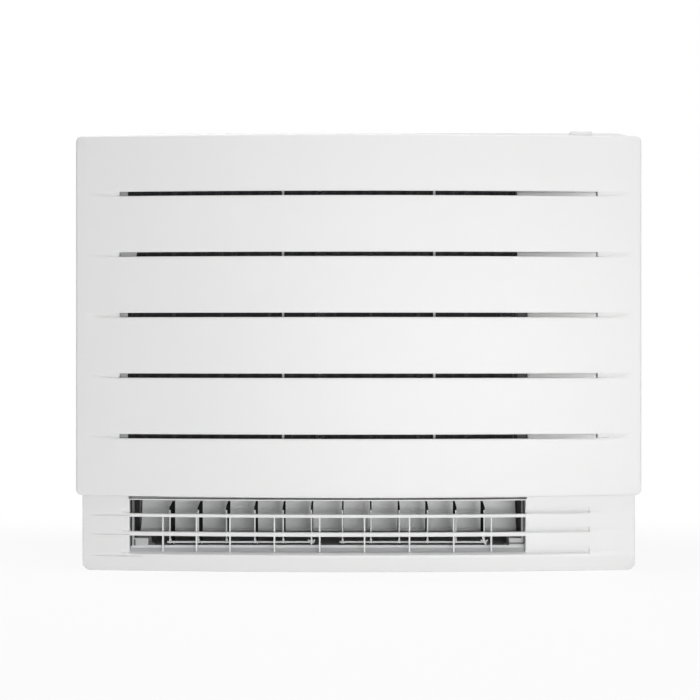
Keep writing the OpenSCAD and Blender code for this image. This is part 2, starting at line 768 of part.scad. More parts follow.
module deodoriser_cassettes() color("gray") placed() for (s = filter_sides) difference() {
    x0 = s[0] + cassette_in;
    cell_w = (s[1] - cassette_in - x0 - cassette_rim) / cassette_cells;
    block([x0, -cassette_d, fan_h - cassette_h / 2], [s[1] - cassette_in, -cassette_d + cassette_t,
        fan_h + cassette_h / 2]);
    for (i = [0:cassette_cells - 1])
        translate([x0 + cassette_rim + i * cell_w, -cassette_d - cut, fan_h - cassette_h / 2 + cassette_rim])
            cube([cell_w - cassette_rim, cassette_t - 1 + cut, cassette_h - 2 * cassette_rim]);
}

// The finned block of the heat exchanger, with grooves that show its fins in groups
module fin_pack() color("lightgray") placed() difference() {
    block([coil_x0, -coil_front_d, coil_h0], [coil_x1, -coil_front_d + coil_t, coil_h1]);
    groove_w = 1.2;
    groove_pitch = 10 * groove_w;
    groove_l = 3;
    for (x = [coil_x0 + groove_pitch - 4:groove_pitch:coil_x1 - groove_pitch / 2])
        block([x, -coil_front_d - cut, coil_h0 + 4], [x + groove_w, -coil_front_d + groove_l, coil_h1 - 4]);
}

module coil_end_plates() color("silver") placed()
    for (x = [coil_x0 - coil_plate_t - gap, coil_x1 + gap]) difference() {
        block([x, -coil_front_d - coil_plate_edge, pan_floor_h + wall + gap], [x + coil_plate_t,
            -coil_front_d + coil_t + coil_plate_edge, coil_h1 + coil_plate_edge + 1]);
        block([x - cut, -coil_front_d + 2 * coil_plate_edge, pan_floor_h], [x + coil_plate_t + cut,
            -coil_front_d + coil_t - 2 * coil_plate_edge, coil_h0 - 4 * coil_plate_edge]);
    }

function tube_h(i) = (coil_h0 + coil_h1) / 2 + (i - (tube_rows - 1) / 2) * tube_pitch;

// A return bend that leaves an end plate at x and comes back one row higher
module return_bend(x, y, h, side) {
    translate([x, y, h + tube_pitch / 2]) rotate([90, 0, 0]) rotate([0, 0, side > 0 ? -90 : 90])
        rotate_extrude(angle = 180) translate([tube_pitch / 2, 0]) circle(r = tube_r, $fn = 24);
}

module return_bends() color("peru") placed() for (y = [pipe_y_gas, pipe_y_liquid]) {
    for (i = [1:2:tube_rows - 3]) return_bend(coil_x1 + coil_plate_t + 2 * gap, y, tube_h(i), 1);
    for (i = [0:2:tube_rows - 2]) return_bend(coil_x0 - coil_plate_t - 2 * gap, y, tube_h(i), -1);
}

// A copper pipe that leaves the right end plate and turns down to its union
module coil_pipe(r, y, top_h, x_end) {
    start_x = coil_x1 + coil_plate_t + 2 * gap;
    end_h = union_h + nose_l + union_hex_l;
    pin_x(start_x, x_end - pipe_bend_r, y, top_h, r);
    translate([x_end - pipe_bend_r, y, top_h - pipe_bend_r]) rotate([90, 0, 0])
        rotate_extrude(angle = 90) translate([pipe_bend_r, 0]) circle(r = r);
    translate([x_end, y, end_h]) cylinder(r = r, h = top_h - pipe_bend_r - end_h);
}

module gas_pipe() color("peru") placed() coil_pipe(gas_r, pipe_y_gas, tube_h(tube_rows - 1), gas_x);

module liquid_pipe() color("peru") placed() coil_pipe(liquid_r, pipe_y_liquid, tube_h(0), liquid_x);

// A brass half union with a nose that takes the flare nut
module half_union(x, y, nose_r) {
    translate([x, y, union_h]) cylinder(r = nose_r, h = nose_l);
    translate([x, y, union_h + nose_l]) cylinder(r = nose_r + 1.8, h = union_hex_l, $fn = 6);
}

module flare_unions() color("goldenrod") placed() {
    half_union(gas_x, pipe_y_gas, gas_nose_r);
    half_union(liquid_x, pipe_y_liquid, liquid_nose_r);
}

module drain_pan() color("gainsboro") placed() {
    x0 = -drain_x - drain_r - wall - 1.5;
    difference() {
        block([x0, -pan_front_d, pan_floor_h], [coil_x1 + pan_end, -pan_rear_d, pan_floor_h + pan_h]);
        block([x0 + wall, -pan_front_d + wall, pan_floor_h + wall],
            [coil_x1 + pan_end - wall, -pan_rear_d - wall,
            pan_floor_h + pan_h + cut]);
        translate([-drain_x, drain_y, 0])
            cylinder(r = drain_r - wall, h = body_h / 2);
    }
    translate([-drain_x, drain_y, pan_floor_h - drain_l]) difference() {
        cylinder(r = drain_r, h = drain_l + wall / 2);
        translate([0, 0, -cut]) cylinder(r = drain_r - wall, h = drain_l + wall + cut);
    }
}

module bell_mouth() color("gainsboro") placed() difference() {
    union() {
        block([duct_x0, -bell_d, duct_top_h + gap], [duct_x1, -bell_d + wall, bell_top_h]);
        pin_y(duct_mid_x, fan_h, -bell_d + cut, -bell_d + wall + bell_lip, inlet_r + wall);
    }
    pin_y(duct_mid_x, fan_h, -bell_d - cut, -bell_d + wall + bell_lip + cut, inlet_r);
}

// One side wall of the fan scroll, drawn as width and height
module scroll_side(s) {
    edge = (duct_x1 - duct_x0) / 2;
    end_a = 50;
    end_x = (scroll_r + wall / 2) * cos(end_a);
    end_h = (scroll_r + wall / 2) * sin(end_a);
    tip_t = 1.5 * wall;
    intersection() {
        difference() {
            circle(r = scroll_r + wall);
            circle(r = scroll_r);
        }
        polygon([[0, 0], [s * 2 * end_x, -2 * end_h], [s * 3 * end_x, 0], [s * 2 * end_x, 2 * end_h]]);
    }
    for (v = [[1, bell_top_h - fan_h], [-1, duct_top_h + gap - fan_h]])
        polygon([[s * end_x, v[0] * (end_h - wall)], [s * end_x, v[0] * (end_h + wall / 2)], [s * edge, v[1]],
            [s * edge, v[1] - v[0] * tip_t]]);
}

module fan_scroll() color("whitesmoke") placed() through(-bell_d + wall + gap, chamber_y)
    translate([duct_mid_x, fan_h]) {
        scroll_side(-1);
        scroll_side(1);
    }

// The wheel in its own frame, with its axis along Z and its inlet up
module wheel() {
    plate_t = 3;
    shroud_low = fan_w - 18;
    shroud_r = inlet_r + 4;
    arc_x = fan_r - fan_arc_in;
    arc_r = arc_x - fan_arc_play;
    arc_t = 2.5;
    eye_r = arc_r - 20;
    difference() {
        union() {
            cylinder(r = fan_r, h = plate_t);
            cylinder(r = hub_r, h = hub_l);
            rotate_extrude() polygon([[shroud_r, fan_w], [shroud_r, fan_w - plate_t],
                [fan_r, shroud_low - plate_t],
                [fan_r, shroud_low]]);
            intersection() {
                for (i = [0:fan_blades - 1]) rotate([0, 0, i * 360 / fan_blades])
                    linear_extrude(height = fan_w)
                    intersection() {
                        difference() {
                            translate([arc_x, 0]) circle(r = arc_r);
                            translate([arc_x, 0]) circle(r = arc_r - arc_t);
                            circle(r = eye_r);
                        }
                        translate([-fan_r, 0]) square([2 * fan_r, fan_r]);
                    }
                rotate_extrude() polygon([[hub_r / 2, 1], [fan_r - 0.5, 1], [fan_r - 0.5, shroud_low - 2],
                    [shroud_r + 1.5, fan_w - 2], [shroud_r, fan_w - 16], [hub_r / 2, fan_w - 16]]);
            }
        }
        translate([0, 0, -cut]) cylinder(r = shaft_r + fit_play, h = hub_l + 2 * cut);
    }
}

module fan_wheel() color("lightsteelblue") placed() translate([duct_mid_x, -fan_back_d, fan_h])
    rotate([90, 0, 0]) wheel();

module motor_shaft() color("silver") placed()
    pin_y(duct_mid_x, fan_h, -fan_back_d - hub_l - fan_nut_t - 3, -motor_front_d + shaft_in, shaft_r);

module fan_nut() color("silver") placed() translate([duct_mid_x, -fan_back_d - hub_l - gap, fan_h])
    rotate([90, 0, 0]) difference() {
        cylinder(r = shaft_r * 1.9, h = fan_nut_t, $fn = 6);
        translate([0, 0, -cut]) cylinder(r = shaft_r + fit_play, h = fan_nut_t + 2 * cut);
    }

module fan_motor() color("dimgray") placed() difference() {
    union() {
        pin_y(duct_mid_x, fan_h, -motor_front_d + 3, inner_y - bracket_t - gap, motor_r);
        pin_y(duct_mid_x, fan_h, -motor_front_d, -motor_front_d + 4, motor_r / 3);
    }
    pin_y(duct_mid_x, fan_h, -motor_front_d - cut, -motor_front_d + shaft_in + 1, shaft_r + pin_play);
}

module motor_bracket() color("silver") placed()
    through(inner_y - bracket_t - gap / 2, inner_y - gap / 2) round_rect(duct_mid_x - motor_r - bracket_side,
        duct_mid_x + motor_r + bracket_side, fan_h - motor_r - bracket_end, fan_h + motor_r + bracket_end,
        1.5 * bracket_end);

// The curved underside of the outlet duct, drawn as depth and height
module duct_curve() {
    intersection() {
        translate([-curve_d, curve_h]) difference() {
            circle(r = curve_out_r, $fn = 200);
            circle(r = curve_in_r, $fn = 200);
        }
        translate([-curve_d, floor_h - wall]) square([curve_out_r + cut, duct_top_h - floor_h + wall]);
    }
}

module duct_side() {
    intersection() {
        translate([face_y, floor_h - wall]) square([face_d + inner_y - gap, duct_top_h - floor_h + wall]);
        union() {
            translate([face_y, floor_h - wall]) square([face_d - curve_d, ceiling_h + 2 * wall - floor_h]);
            translate([-curve_d, curve_h]) circle(r = curve_out_r, $fn = 200);
            translate([-bell_d + gap, ceiling_h]) square([bell_d + inner_y - 2 * gap - wall, wall]);
        }
        difference() {
            translate([face_y, 0]) square([face_d, body_h]);
            translate([face_y - cut, ceiling_h + wall]) square([face_d - bell_d + gap + cut, body_h]);
        }
    }
}

module lower_duct() color("whitesmoke") placed() difference() {
    union() {
        for (x = [duct_out_x0, duct_x1]) across(x, x + wall) duct_side();
        across(duct_x0 - wall / 2, duct_x1 + wall / 2) {
            duct_curve();
            translate([face_y, floor_h - wall]) square([face_d - curve_d + wall / 2, wall]);
            translate([face_y, ceiling_h]) square([face_d - bell_d, wall]);
        }
        for (x = [duct_x0 - wall / 2, duct_x1 - block_w])
            block([x, face_y, floor_h - wall / 2],
                [x + block_w + wall / 2, face_y + block_l, floor_h + block_h]);
    }
    for (i = [1:2 * blade_count]) translate([blade_x(i), -pivot_d, floor_h - wall - cut])
        cylinder(r = pivot_r + pin_play, h = fascia_top_h + cut);
    pin_x(duct_out_x0 - cut, duct_out_x1 + cut, -damper_d, damper_h, journal_r + pin_play);
    block([-half_w, face_y - cut, fascia_top_h - 2 * gap], [half_w, face_in_y + gap, body_h]);
}

module lower_damper() color("lightgray") placed() {
    across(duct_x0 + damper_play, duct_x1 - damper_play) {
        intersection() {
            translate([-damper_d - damper_r, damper_h]) difference() {
                circle(r = damper_r + damper_t, $fn = 160);
                circle(r = damper_r, $fn = 160);
            }
            translate([-damper_d - damper_r, damper_h]) polygon([[0, 0], [2 * damper_r, 0],
                [2 * damper_r * cos(damper_sweep), -2 * damper_r * sin(damper_sweep)]]);
        }
        translate([-damper_d, damper_h]) circle(r = journal_r + damper_t - 0.2);
    }
    pin_x(duct_out_x0, duct_out_x1 + journal_l, -damper_d, damper_h, journal_r);
}

// A lower blade seen from the side, as depth and height, with a notch in its front edge
module blade_side() {
    step_d = pivot_d + crank_l - blade_step_l;
    notch = 2;
    slope = [6, 9];
    foot = floor_h + 1.5;
    notch_h = blade_top_h - slope[1] - 5 - notch;
    polygon([[-blade_rear_d, foot], [-blade_rear_d, blade_top_h], [-blade_front_d + slope[0], blade_top_h],
        [-blade_front_d, blade_top_h - slope[1]], [-blade_front_d, notch_h + notch],
        [-blade_front_d + notch, notch_h], [-blade_front_d, notch_h - notch], [-blade_front_d, blade_step_h],
        [-step_d, blade_step_h], [-step_d, foot]]);
}

module lower_blade(i) color("lightgray") placed() {
    x = blade_x(i);
    across(x - blade_t / 2, x + blade_t / 2) blade_side();
    translate([x, -pivot_d, floor_h - wall + gap])
        cylinder(r = pivot_r, h = ceiling_h - floor_h + 2 * wall - 2 * gap);
    translate([x, -pivot_d - crank_l, rod_h - rod_t / 2 - 0.5]) cylinder(r = pivot_r, h = rod_t + 4);
}

// A link rod with a hole for each blade's pin and a finger tab at its last blade
module lower_rod(first) color("whitesmoke") placed() difference() {
    x0 = blade_x(first);
    x1 = blade_x(first + blade_count - 1);
    y = -pivot_d - crank_l;
    union() {
        block([x0 - rod_end, y - rod_w / 2, rod_h - rod_t / 2],
            [x1 + rod_end, y + rod_w / 2, rod_h + rod_t / 2]);
        block([x1 - tab_w / 2, y - tab_d, rod_h - tab_h / 2],
            [x1 + tab_w / 2, y - rod_w / 2 + 1, rod_h + rod_t / 2]);
        block([x1 - tab_w / 2, y - tab_d, rod_h], [x1 + tab_w / 2, y - tab_d + 2, rod_h + tab_h]);
    }
    for (i = [first:first + blade_count - 1]) translate([blade_x(i), y, 0])
        cylinder(r = pivot_r + pin_play, h = fascia_top_h);
}

module lower_rod_left() lower_rod(1);

module lower_rod_right() lower_rod(blade_count + 1);

flap_axis = deck_pt(flap_axis_l, -flap_axis_n);

module upper_duct() color("whitesmoke") placed() difference() {
    front_y = -top_duct_front_d;
    top_h = body_h - wall - gap;
    front_h = deck_pt((face_d - top_duct_front_d) / cos(deck_a), 0)[1] - (wall + gap) / cos(deck_a);
    x0 = duct_x0 - wall / 2;
    x1 = duct_x1 + wall / 2;
    bar_h = 5;
    union() {
        for (x = [duct_out_x0, duct_x1]) across(x, x + wall)
            polygon([[front_y, top_duct_h], [chamber_y, top_duct_h],
            [chamber_y, top_h], [-deck_rear_d, top_h], [front_y, front_h]]);
        block([x0, front_y, top_duct_h], [x1, -bell_d, top_duct_h + wall]);
        block([x0, front_y, top_duct_h], [x1, front_y + wall, vane_pivot_h + 4]);
        block([x0, -vane_bar_d - wall, vane_pivot_h - bar_h], [x1, -vane_bar_d, vane_pivot_h + bar_h]);
    }
    for (i = [1:vane_count]) pin_y(vane_x(i), vane_pivot_h, front_y - cut, -vane_bar_d + cut,
        vane_pin_r + pin_play);
    pin_x(duct_out_x0 - cut, duct_out_x1 + cut, flap_axis[0], flap_axis[1], journal_r + pin_play);
}

module upper_flap() color("white") placed() {
    x0 = duct_x0 + flap_clear;
    x1 = duct_x1 - flap_clear;
    rib_l = flap_front_l + 2;
    rib_pitch = (x1 - x0) / 6.5;
    on_deck() {
        block([x0, flap_front_l + flap_clear, -flap_t], [x1, flap_axis_l + journal_r + 2, 0]);
        block([x0, flap_front_l + flap_clear, -flap_t - flap_lip],
            [x1, flap_front_l + flap_lip, -flap_t / 2]);
        block([x0, flap_axis_l - journal_r, -flap_axis_n - 1], [x1, flap_axis_l + journal_r, -flap_t / 2]);
        for (x = [x0 + 0.75 * rib_pitch:rib_pitch:x1])
            block([x, rib_l, -flap_t - 2], [x + 2, flap_axis_l, -flap_t / 2]);
    }
    pin_x(duct_out_x0, duct_out_x1 + journal_l, flap_axis[0], flap_axis[1], journal_r);
}

// An upright blade in the top outlet, turning about a line from front to back
module upper_blade(i) color("lightgray") placed() {
    x = vane_x(i);
    front_y = -top_duct_front_d + wall + vane_room;
    pin_h = vane_pivot_h - vane_crank_l;
    top_h = vane_pivot_h + vane_top;
    block([x - blade_t / 2, front_y, pin_h - 2 * vane_pin_r],
        [x + blade_t / 2, -vane_bar_d - wall - vane_room / 2, top_h]);
    pin_y(x, vane_pivot_h, -top_duct_front_d + gap, -vane_bar_d - gap, vane_pin_r);
    pin_y(x, pin_h, front_y - 0.6 * vane_room, front_y + 2, vane_pin_r);
}

module upper_rod() color("whitesmoke") placed() difference() {
    y = -top_duct_front_d + wall + vane_room;
    h = vane_pivot_h - vane_crank_l;
    side = 2 * vane_pin_r;
    block([vane_x(1) - side - 1, y - vane_room / 2 - 0.2, h - side],
        [vane_x(vane_count) + side + 1, y - gap, h + side]);
    for (i = [1:vane_count]) pin_y(vane_x(i), h, y - vane_room, y, vane_pin_r + pin_play);
}

// A small stepping motor beside a duct, with its shaft hole above its middle, holding a journal's end
module step_motor(axis_y, axis_h) {
    difference() {
        pin_x(duct_out_x1 + gap, duct_out_x1 + gap + motor_small_l, axis_y, axis_h - motor_offset,
            motor_small_r);
        pin_x(duct_out_x1, duct_out_x1 + journal_l + 2, axis_y, axis_h, journal_r + pin_play);
    }
}

module step_motors() color("silver") placed() {
    step_motor(-damper_d, damper_h);
    step_motor(flap_axis[0], flap_axis[1]);
}

box_back_y = box_d - coil_front_d - 14;
box_front_y = box_back_y - box_d;
terminal_l = 26;
terminal_top = 50;

module control_box() color("silver") placed() difference() {
    wire_h = box_h0 + 20;
    block([box_x0, box_front_y, box_h0], [box_x1, box_back_y, box_h1]);
    block([box_x0 + sheet_t, box_front_y - cut, box_h0 + sheet_t], [box_x1 - sheet_t, box_back_y - sheet_t,
        box_h1 - sheet_t]);
    pin_x(box_x0 - cut, box_x0 + 2 * sheet_t, box_front_y + 20, wire_h, 7);
}

module control_cover() color("silver") placed() {
    lip_l = 6;
    x0 = box_x0 + sheet_t + gap;
    x1 = box_x1 - sheet_t - gap;
    lip_h = box_h1 - sheet_t - gap - lip_l;
    block([box_x0, box_front_y - sheet_t - gap, box_h0], [box_x1, box_front_y - gap, box_h1]);
    block([x0, box_front_y - gap - sheet_t / 2, lip_h], [x1, box_front_y + lip_l, lip_h + sheet_t]);
}

// The circuit board on four pillars, with its transformer, heat sink, capacitors and connector
module control_board() color("darkgreen") placed() {
    board_edge = 2;
    board_t = 1.6;
    pillar_l = 8;
    pillar_in = 6;
    transformer = [24, 21, 40];
    sink_rim = 10;
    sink = [13, 40];
    can_r = 7;
    can_l = 25;
    can_gap = 22;
    plug = [11, 16];
    y = box_back_y - sheet_t;
    front = y - pillar_l - board_t;
    seat = front + board_t / 2;
    x0 = box_x0 + sheet_t + board_edge;
    x1 = box_x1 - sheet_t - board_edge;
    h0 = box_h0 + terminal_top + 12;
    h1 = box_h1 - sink_rim;
    can_h = h0 + sink_rim + plug[1] + can_gap + can_r;
    block([x0, front, h0], [x1, y - pillar_l, h1]);
    for (x = [x0 + pillar_in, x1 - pillar_in], h = [h0 + pillar_in, h1 - pillar_in])
        pin_y(x, h, seat, y - gap / 2, pillar_in / 2);
    block([x0 + pillar_l, seat - transformer[1], h1 - transformer[2] - 20],
        [x0 + pillar_l + transformer[0], seat, h1 - 20]);
    block([x0 + sink_rim, seat - sink[0], (h0 + h1) / 2 - sink[1]], [x1 - sink_rim, seat, (h0 + h1) / 2]);
    for (x = [x0 + 2 * can_r, (x0 + x1) / 2, x1 - 2 * can_r]) pin_y(x, can_h, seat - can_l, seat, can_r);
    block([x0 + pillar_l, seat - plug[0], h0 + sink_rim], [x1 - pillar_l, seat, h0 + sink_rim + plug[1]]);
}

module terminal_block() color("beige") placed() {
    cells = 4;
    rim = 3;
    deep = 20;
    y = box_back_y - sheet_t - gap / 2;
    x0 = box_x0 + 3 * rim;
    x1 = box_x1 - 3 * rim;
    cell_w = (x1 - x0 - rim) / cells;
    h0 = box_h0 + terminal_top - terminal_l;
    difference() {
        block([x0, y - deep, h0], [x1, y, h0 + terminal_l]);
        for (i = [0:cells - 1]) translate([x0 + rim + i * cell_w, y - deep - cut, h0 + 4])
            cube([cell_w - rim, deep / 2 - cut, terminal_l - 8]);
    }
    for (i = [0:cells - 1])
        pin_y(x0 + rim / 2 + (i + 0.5) * cell_w, h0 + terminal_l / 2, y - 0.7 * deep, y - deep / 2, rim);
}

module receiver_housing() color("white") placed() difference() {
    x1 = receiver_x0 + receiver_w;
    y1 = receiver_y0 + receiver_d;
    block([receiver_x0, receiver_y0, receiver_h0], [x1, y1, receiver_top_h]);
    block([receiver_x0 + receiver_wall, receiver_y0 + receiver_wall, receiver_h0 - cut], [x1 - receiver_wall,
        y1 - receiver_wall, receiver_top_h - receiver_wall]);
    translate([button_x, button_y, receiver_h0]) cylinder(r = button_r + gap, h = body_h);
    translate([window_lens_x, button_y, receiver_top_h - 2 * receiver_wall])
        linear_extrude(height = 3 * receiver_wall) square([lens_w, lens_d], center = true);
}

module receiver_lens() color("black") placed()
    translate([window_lens_x, button_y, receiver_top_h - receiver_wall])
    linear_extrude(height = receiver_wall) square([lens_w - 2 * gap, lens_d - 2 * gap], center = true);

board_h = receiver_h0 + 8;
flange_h = receiver_top_h - receiver_wall - gap - button_flange_t;

module receiver_board() color("darkgreen") placed() {
    block([receiver_x0 + receiver_wall + gap, receiver_y0 + receiver_wall + gap, board_h],
        [receiver_x0 + receiver_w - receiver_wall - gap, receiver_y0 + receiver_d - receiver_wall - gap,
            board_h + 1.6]);
    translate([button_x, button_y, board_h + 1])
        cylinder(r = 2, h = flange_h - button_travel - gap - board_h - 1);
}

module power_button() color("white") placed() translate([button_x, button_y, 0]) {
    translate([0, 0, flange_h]) cylinder(r = button_r + 1.2, h = button_flange_t);
    translate([0, 0, flange_h]) cylinder(r = button_r, h = receiver_top_h + button_travel + 0.2 - flange_h);
}

// A stopper with three grip grooves in its front
module panel_stopper(s) {
    x = s * stopper_x;
    half_h = stopper_w / 4;
    front = face_y - gap - stopper_t;
    difference() {
        block([x - stopper_w / 2, front, stopper_h - half_h],
            [x + stopper_w / 2, face_y - gap, stopper_h + half_h]);
        for (i = [-1:1]) block([x + i * half_h - 1, front - cut, stopper_h - half_h + 2],
            [x + i * half_h + 1, front + 1, stopper_h + half_h - 2]);
    }
}

module panel_stopper_left() color("gainsboro") placed() panel_stopper(-1);

module panel_stopper_right() color("gainsboro") placed() panel_stopper(1);

module casing_screws() color("silver") placed() for (x = [-post_x, post_x], h = [post_h0, post_h1]) {
    pin_y(x, h, face_y - 2, face_y, 2.4 * screw_r);
    pin_y(x, h, face_y - cut, face_y + screw_l, screw_r);
}

// A rubber ring with a groove that grips the hole in the back
module cable_grommet() color("black") placed()
    translate([inlet_x, (inner_y + back_y) / 2 + inlet_l / 2, inlet_h])
    rotate([90, 0, 0]) difference() {
        union() {
            cylinder(r = inlet_bore_r + 3 - gap, h = inlet_l);
            cylinder(r = inlet_bore_r + 5, h = (inlet_l - wall) / 2 - gap);
            translate([0, 0, (inlet_l + wall) / 2 + gap])
                cylinder(r = inlet_bore_r + 5, h = (inlet_l - wall) / 2 - gap);
        }
        translate([0, 0, -cut]) cylinder(r = inlet_bore_r, h = inlet_l + 2 * cut);
    }

wall_plate();
rear_frame();
front_casing();
outlet_fascia();
guard_bars();
guard_uprights();
front_panel();
filter_frames();
filter_nets();
deodoriser_cassettes();
fin_pack();
coil_end_plates();
return_bends();
gas_pipe();
liquid_pipe();
flare_unions();
drain_pan();
bell_mouth();
fan_scroll();
fan_wheel();
fan_nut();
motor_shaft();
fan_motor();
motor_bracket();
lower_duct();
lower_damper();
upper_duct();
upper_flap();
step_motors();
control_box();
control_cover();
control_board();
terminal_block();
receiver_housing();
receiver_lens();
receiver_board();
power_button();
panel_stopper_left();
panel_stopper_right();
casing_screws();
cable_grommet();
lower_rod_left();
lower_rod_right();
upper_rod();
for (i = [1:2 * blade_count]) lower_blade(i);
for (i = [1:vane_count]) upper_blade(i);
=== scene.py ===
import math

import bmesh
import bpy
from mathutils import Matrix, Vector


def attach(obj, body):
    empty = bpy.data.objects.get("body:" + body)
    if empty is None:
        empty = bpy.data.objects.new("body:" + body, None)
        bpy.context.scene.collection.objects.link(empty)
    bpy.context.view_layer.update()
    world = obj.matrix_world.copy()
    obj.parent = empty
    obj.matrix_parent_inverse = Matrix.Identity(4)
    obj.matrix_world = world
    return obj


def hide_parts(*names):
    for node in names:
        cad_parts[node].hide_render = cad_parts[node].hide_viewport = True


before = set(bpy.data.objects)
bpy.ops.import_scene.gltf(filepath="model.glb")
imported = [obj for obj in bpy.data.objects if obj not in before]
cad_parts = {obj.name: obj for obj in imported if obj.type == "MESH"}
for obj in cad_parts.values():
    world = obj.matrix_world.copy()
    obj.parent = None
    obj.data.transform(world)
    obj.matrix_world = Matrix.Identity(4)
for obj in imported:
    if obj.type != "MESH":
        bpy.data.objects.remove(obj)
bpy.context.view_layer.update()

# The photograph: a straight front view from about 1.75 m off the panel, at the height of the wall screws.
# The object's middle stands a little right of the picture's, which takes a small shift.
CAMERA_OFF_WALL = 1.988
PICTURE_PIXELS = 700
camera_data = bpy.data.cameras.new("photo_camera")
camera_data.sensor_width = 36
camera_data.lens = 68.7
camera_data.shift_x = -8.7 / PICTURE_PIXELS
camera_data.shift_y = -5 / PICTURE_PIXELS
camera_data.clip_start = 0.05
camera_data.clip_end = 40
camera = bpy.data.objects.new("photo_camera", camera_data)
camera.location = (0, -CAMERA_OFF_WALL, 0)
camera.rotation_euler = (math.pi / 2, 0, 0)
bpy.context.scene.collection.objects.link(camera)
bpy.context.scene.camera = camera
bpy.context.scene.view_settings.view_transform = "Standard"

# The studio: a flat pale sheet on the floor, which fades into a white world behind the unit.
# The camera and reflections see both as white, and they light the unit only softly.
# Six soft boxes give the light, most of it from above and in front.


class Signal:
    """An output socket of a material; arithmetic on it adds Math nodes."""

    def __init__(self, socket):
        self.socket = socket

    def node(self, kind, settings, inputs, output=0):
        """Adds any node: its settings first, then the values or links of its sockets."""
        tree = self.socket.node.id_data
        made = tree.nodes.new("ShaderNode" + kind)
        for name, value in settings.items():
            setattr(made, name, value)
        for name, value in inputs.items():
            if isinstance(value, Signal):
                tree.links.new(value.socket, made.inputs[name])
            else:
                made.inputs[name].default_value = value
        return Signal(made.outputs[output])

    def maths(self, operation, *values):
        """A Math node on these values."""
        return self.node("Math", {"operation": operation}, dict(enumerate(values)))

    def __add__(self, other):
        return self.maths("ADD", self, other)

    def __sub__(self, other):
        return self.maths("SUBTRACT", self, other)

    def __rsub__(self, other):
        return self.maths("SUBTRACT", other, self)

    def __mul__(self, other):
        return self.maths("MULTIPLY", self, other)

    __radd__ = __add__
    __rmul__ = __mul__

    def over(self, low, high):
        """0 below low, 1 above high and smooth between."""
        return self.node("MapRange", {"interpolation_type": "SMOOTHSTEP"},
                         {"Value": self, "From Min": low, "From Max": high})

    def between(self, low, high, edge):
        """1 where the value lies between low and high, with soft edges."""
        return self.over(low - edge, low + edge) * (1 - self.over(high - edge, high + edge))

    def mix(self, first, second):
        """The colour first where this is 0 and second where it is 1."""
        return self.node("Mix", {"data_type": "RGBA"}, {0: self, 6: first, 7: second}, 2)

    def along(self, axis):
        """One coordinate of a place, in metres: 0 across, 1 into the wall and 2 up."""
        return self.node("SeparateXYZ", {}, {"Vector": self}, axis)

    def noise(self, scale, detail):
        """Cloudy noise about 0.5 that follows this place."""
        return self.node("TexNoise", {}, {"Vector": self, "Scale": scale, "Detail": detail})

    def bump(self, strength, distance):
        """A normal that takes this as a height, distance in metres."""
        return self.node("Bump", {}, {"Strength": strength, "Distance": distance, "Height": self})

    def feed(self, shader, socket):
        """Links this to a socket of a shader."""
        shader.id_data.links.new(self.socket, shader.inputs[socket])


def new_finish(name):
    """A new material, its shader, and the place on the object that its patterns follow."""
    made = bpy.data.materials.new(name)
    made.use_nodes = True
    nodes = made.node_tree.nodes
    return made, nodes["Principled BSDF"], Signal(nodes.new("ShaderNodeTexCoord").outputs["Object"])


def seen_as_white(nodes):
    """1 for rays from the camera, from gloss or through glass, and 0 for those that light the unit."""
    paths = nodes.new("ShaderNodeLightPath").outputs
    straight, mirrored = Signal(paths["Is Camera Ray"]), Signal(paths["Is Glossy Ray"])
    through = Signal(paths["Is Transmission Ray"])
    return straight.maths("MAXIMUM", straight, straight.maths("MAXIMUM", mirrored, through))


SHEET_REACH, SHEET_LEVEL = 4.0, -0.3
# Share of white in what is seen of the sheet, and the shares of light that sheet and world give the unit
SEEN_WHITE, SHEET_GLOW, WORLD_GLOW = 0.9, 0.2, 0.13
# Distances, in metres, over which the sheet fades to white, far from the unit and behind the wall plane
FAR_FADE, REAR_FADE = (0.8, 2.2), (0.02, 0.35)
sheet_material, sheet_shader, sheet_place = new_finish("studio_sheet")
sheet_shader.inputs["Base Color"].default_value = (0.9, 0.9, 0.9, 1)
sheet_shader.inputs["Roughness"].default_value = 0.9
sheet_shader.inputs["Specular IOR Level"].default_value = 0.1
sheet_mesh = bpy.data.meshes.new("studio_sheet")
sheet_mesh.from_pydata([(x * SHEET_REACH, y * SHEET_REACH, SHEET_LEVEL)
                        for x, y in ((-1, -1), (1, -1), (1, 1), (-1, 1))], [], [(0, 1, 2, 3)])
sheet_mesh.materials.append(sheet_material)
studio_sheet = bpy.data.objects.new("studio_sheet", sheet_mesh)
bpy.context.scene.collection.objects.link(studio_sheet)

sheet_nodes = sheet_material.node_tree.nodes
seen = seen_as_white(sheet_nodes)
white_glow = seen.node("Emission", {}, {"Color": (1, 1, 1, 1), "Strength": 1.0})
far = sheet_place.node("VectorMath", {"operation": "LENGTH"}, {0: sheet_place}, 1).over(*FAR_FADE)
rear = sheet_place.along(1).over(*REAR_FADE)
faded = rear.maths("MAXIMUM", rear, far)
glow_share = seen * (SEEN_WHITE + faded * (1 - SEEN_WHITE)) + (1 - seen) * SHEET_GLOW
sheet_mix = seen.node("MixShader", {}, {0: glow_share, 1: Signal(sheet_shader.outputs[0]), 2: white_glow})
sheet_mix.feed(sheet_nodes["Material Output"], "Surface")

world = bpy.data.worlds.new("studio")
bpy.context.scene.world = world
world.use_nodes = True
world_nodes = world.node_tree.nodes
(seen_as_white(world_nodes) * (1 - WORLD_GLOW) + WORLD_GLOW).feed(world_nodes["Background"], "Strength")
world_nodes["Background"].inputs["Color"].default_value = (1, 1, 1, 1)

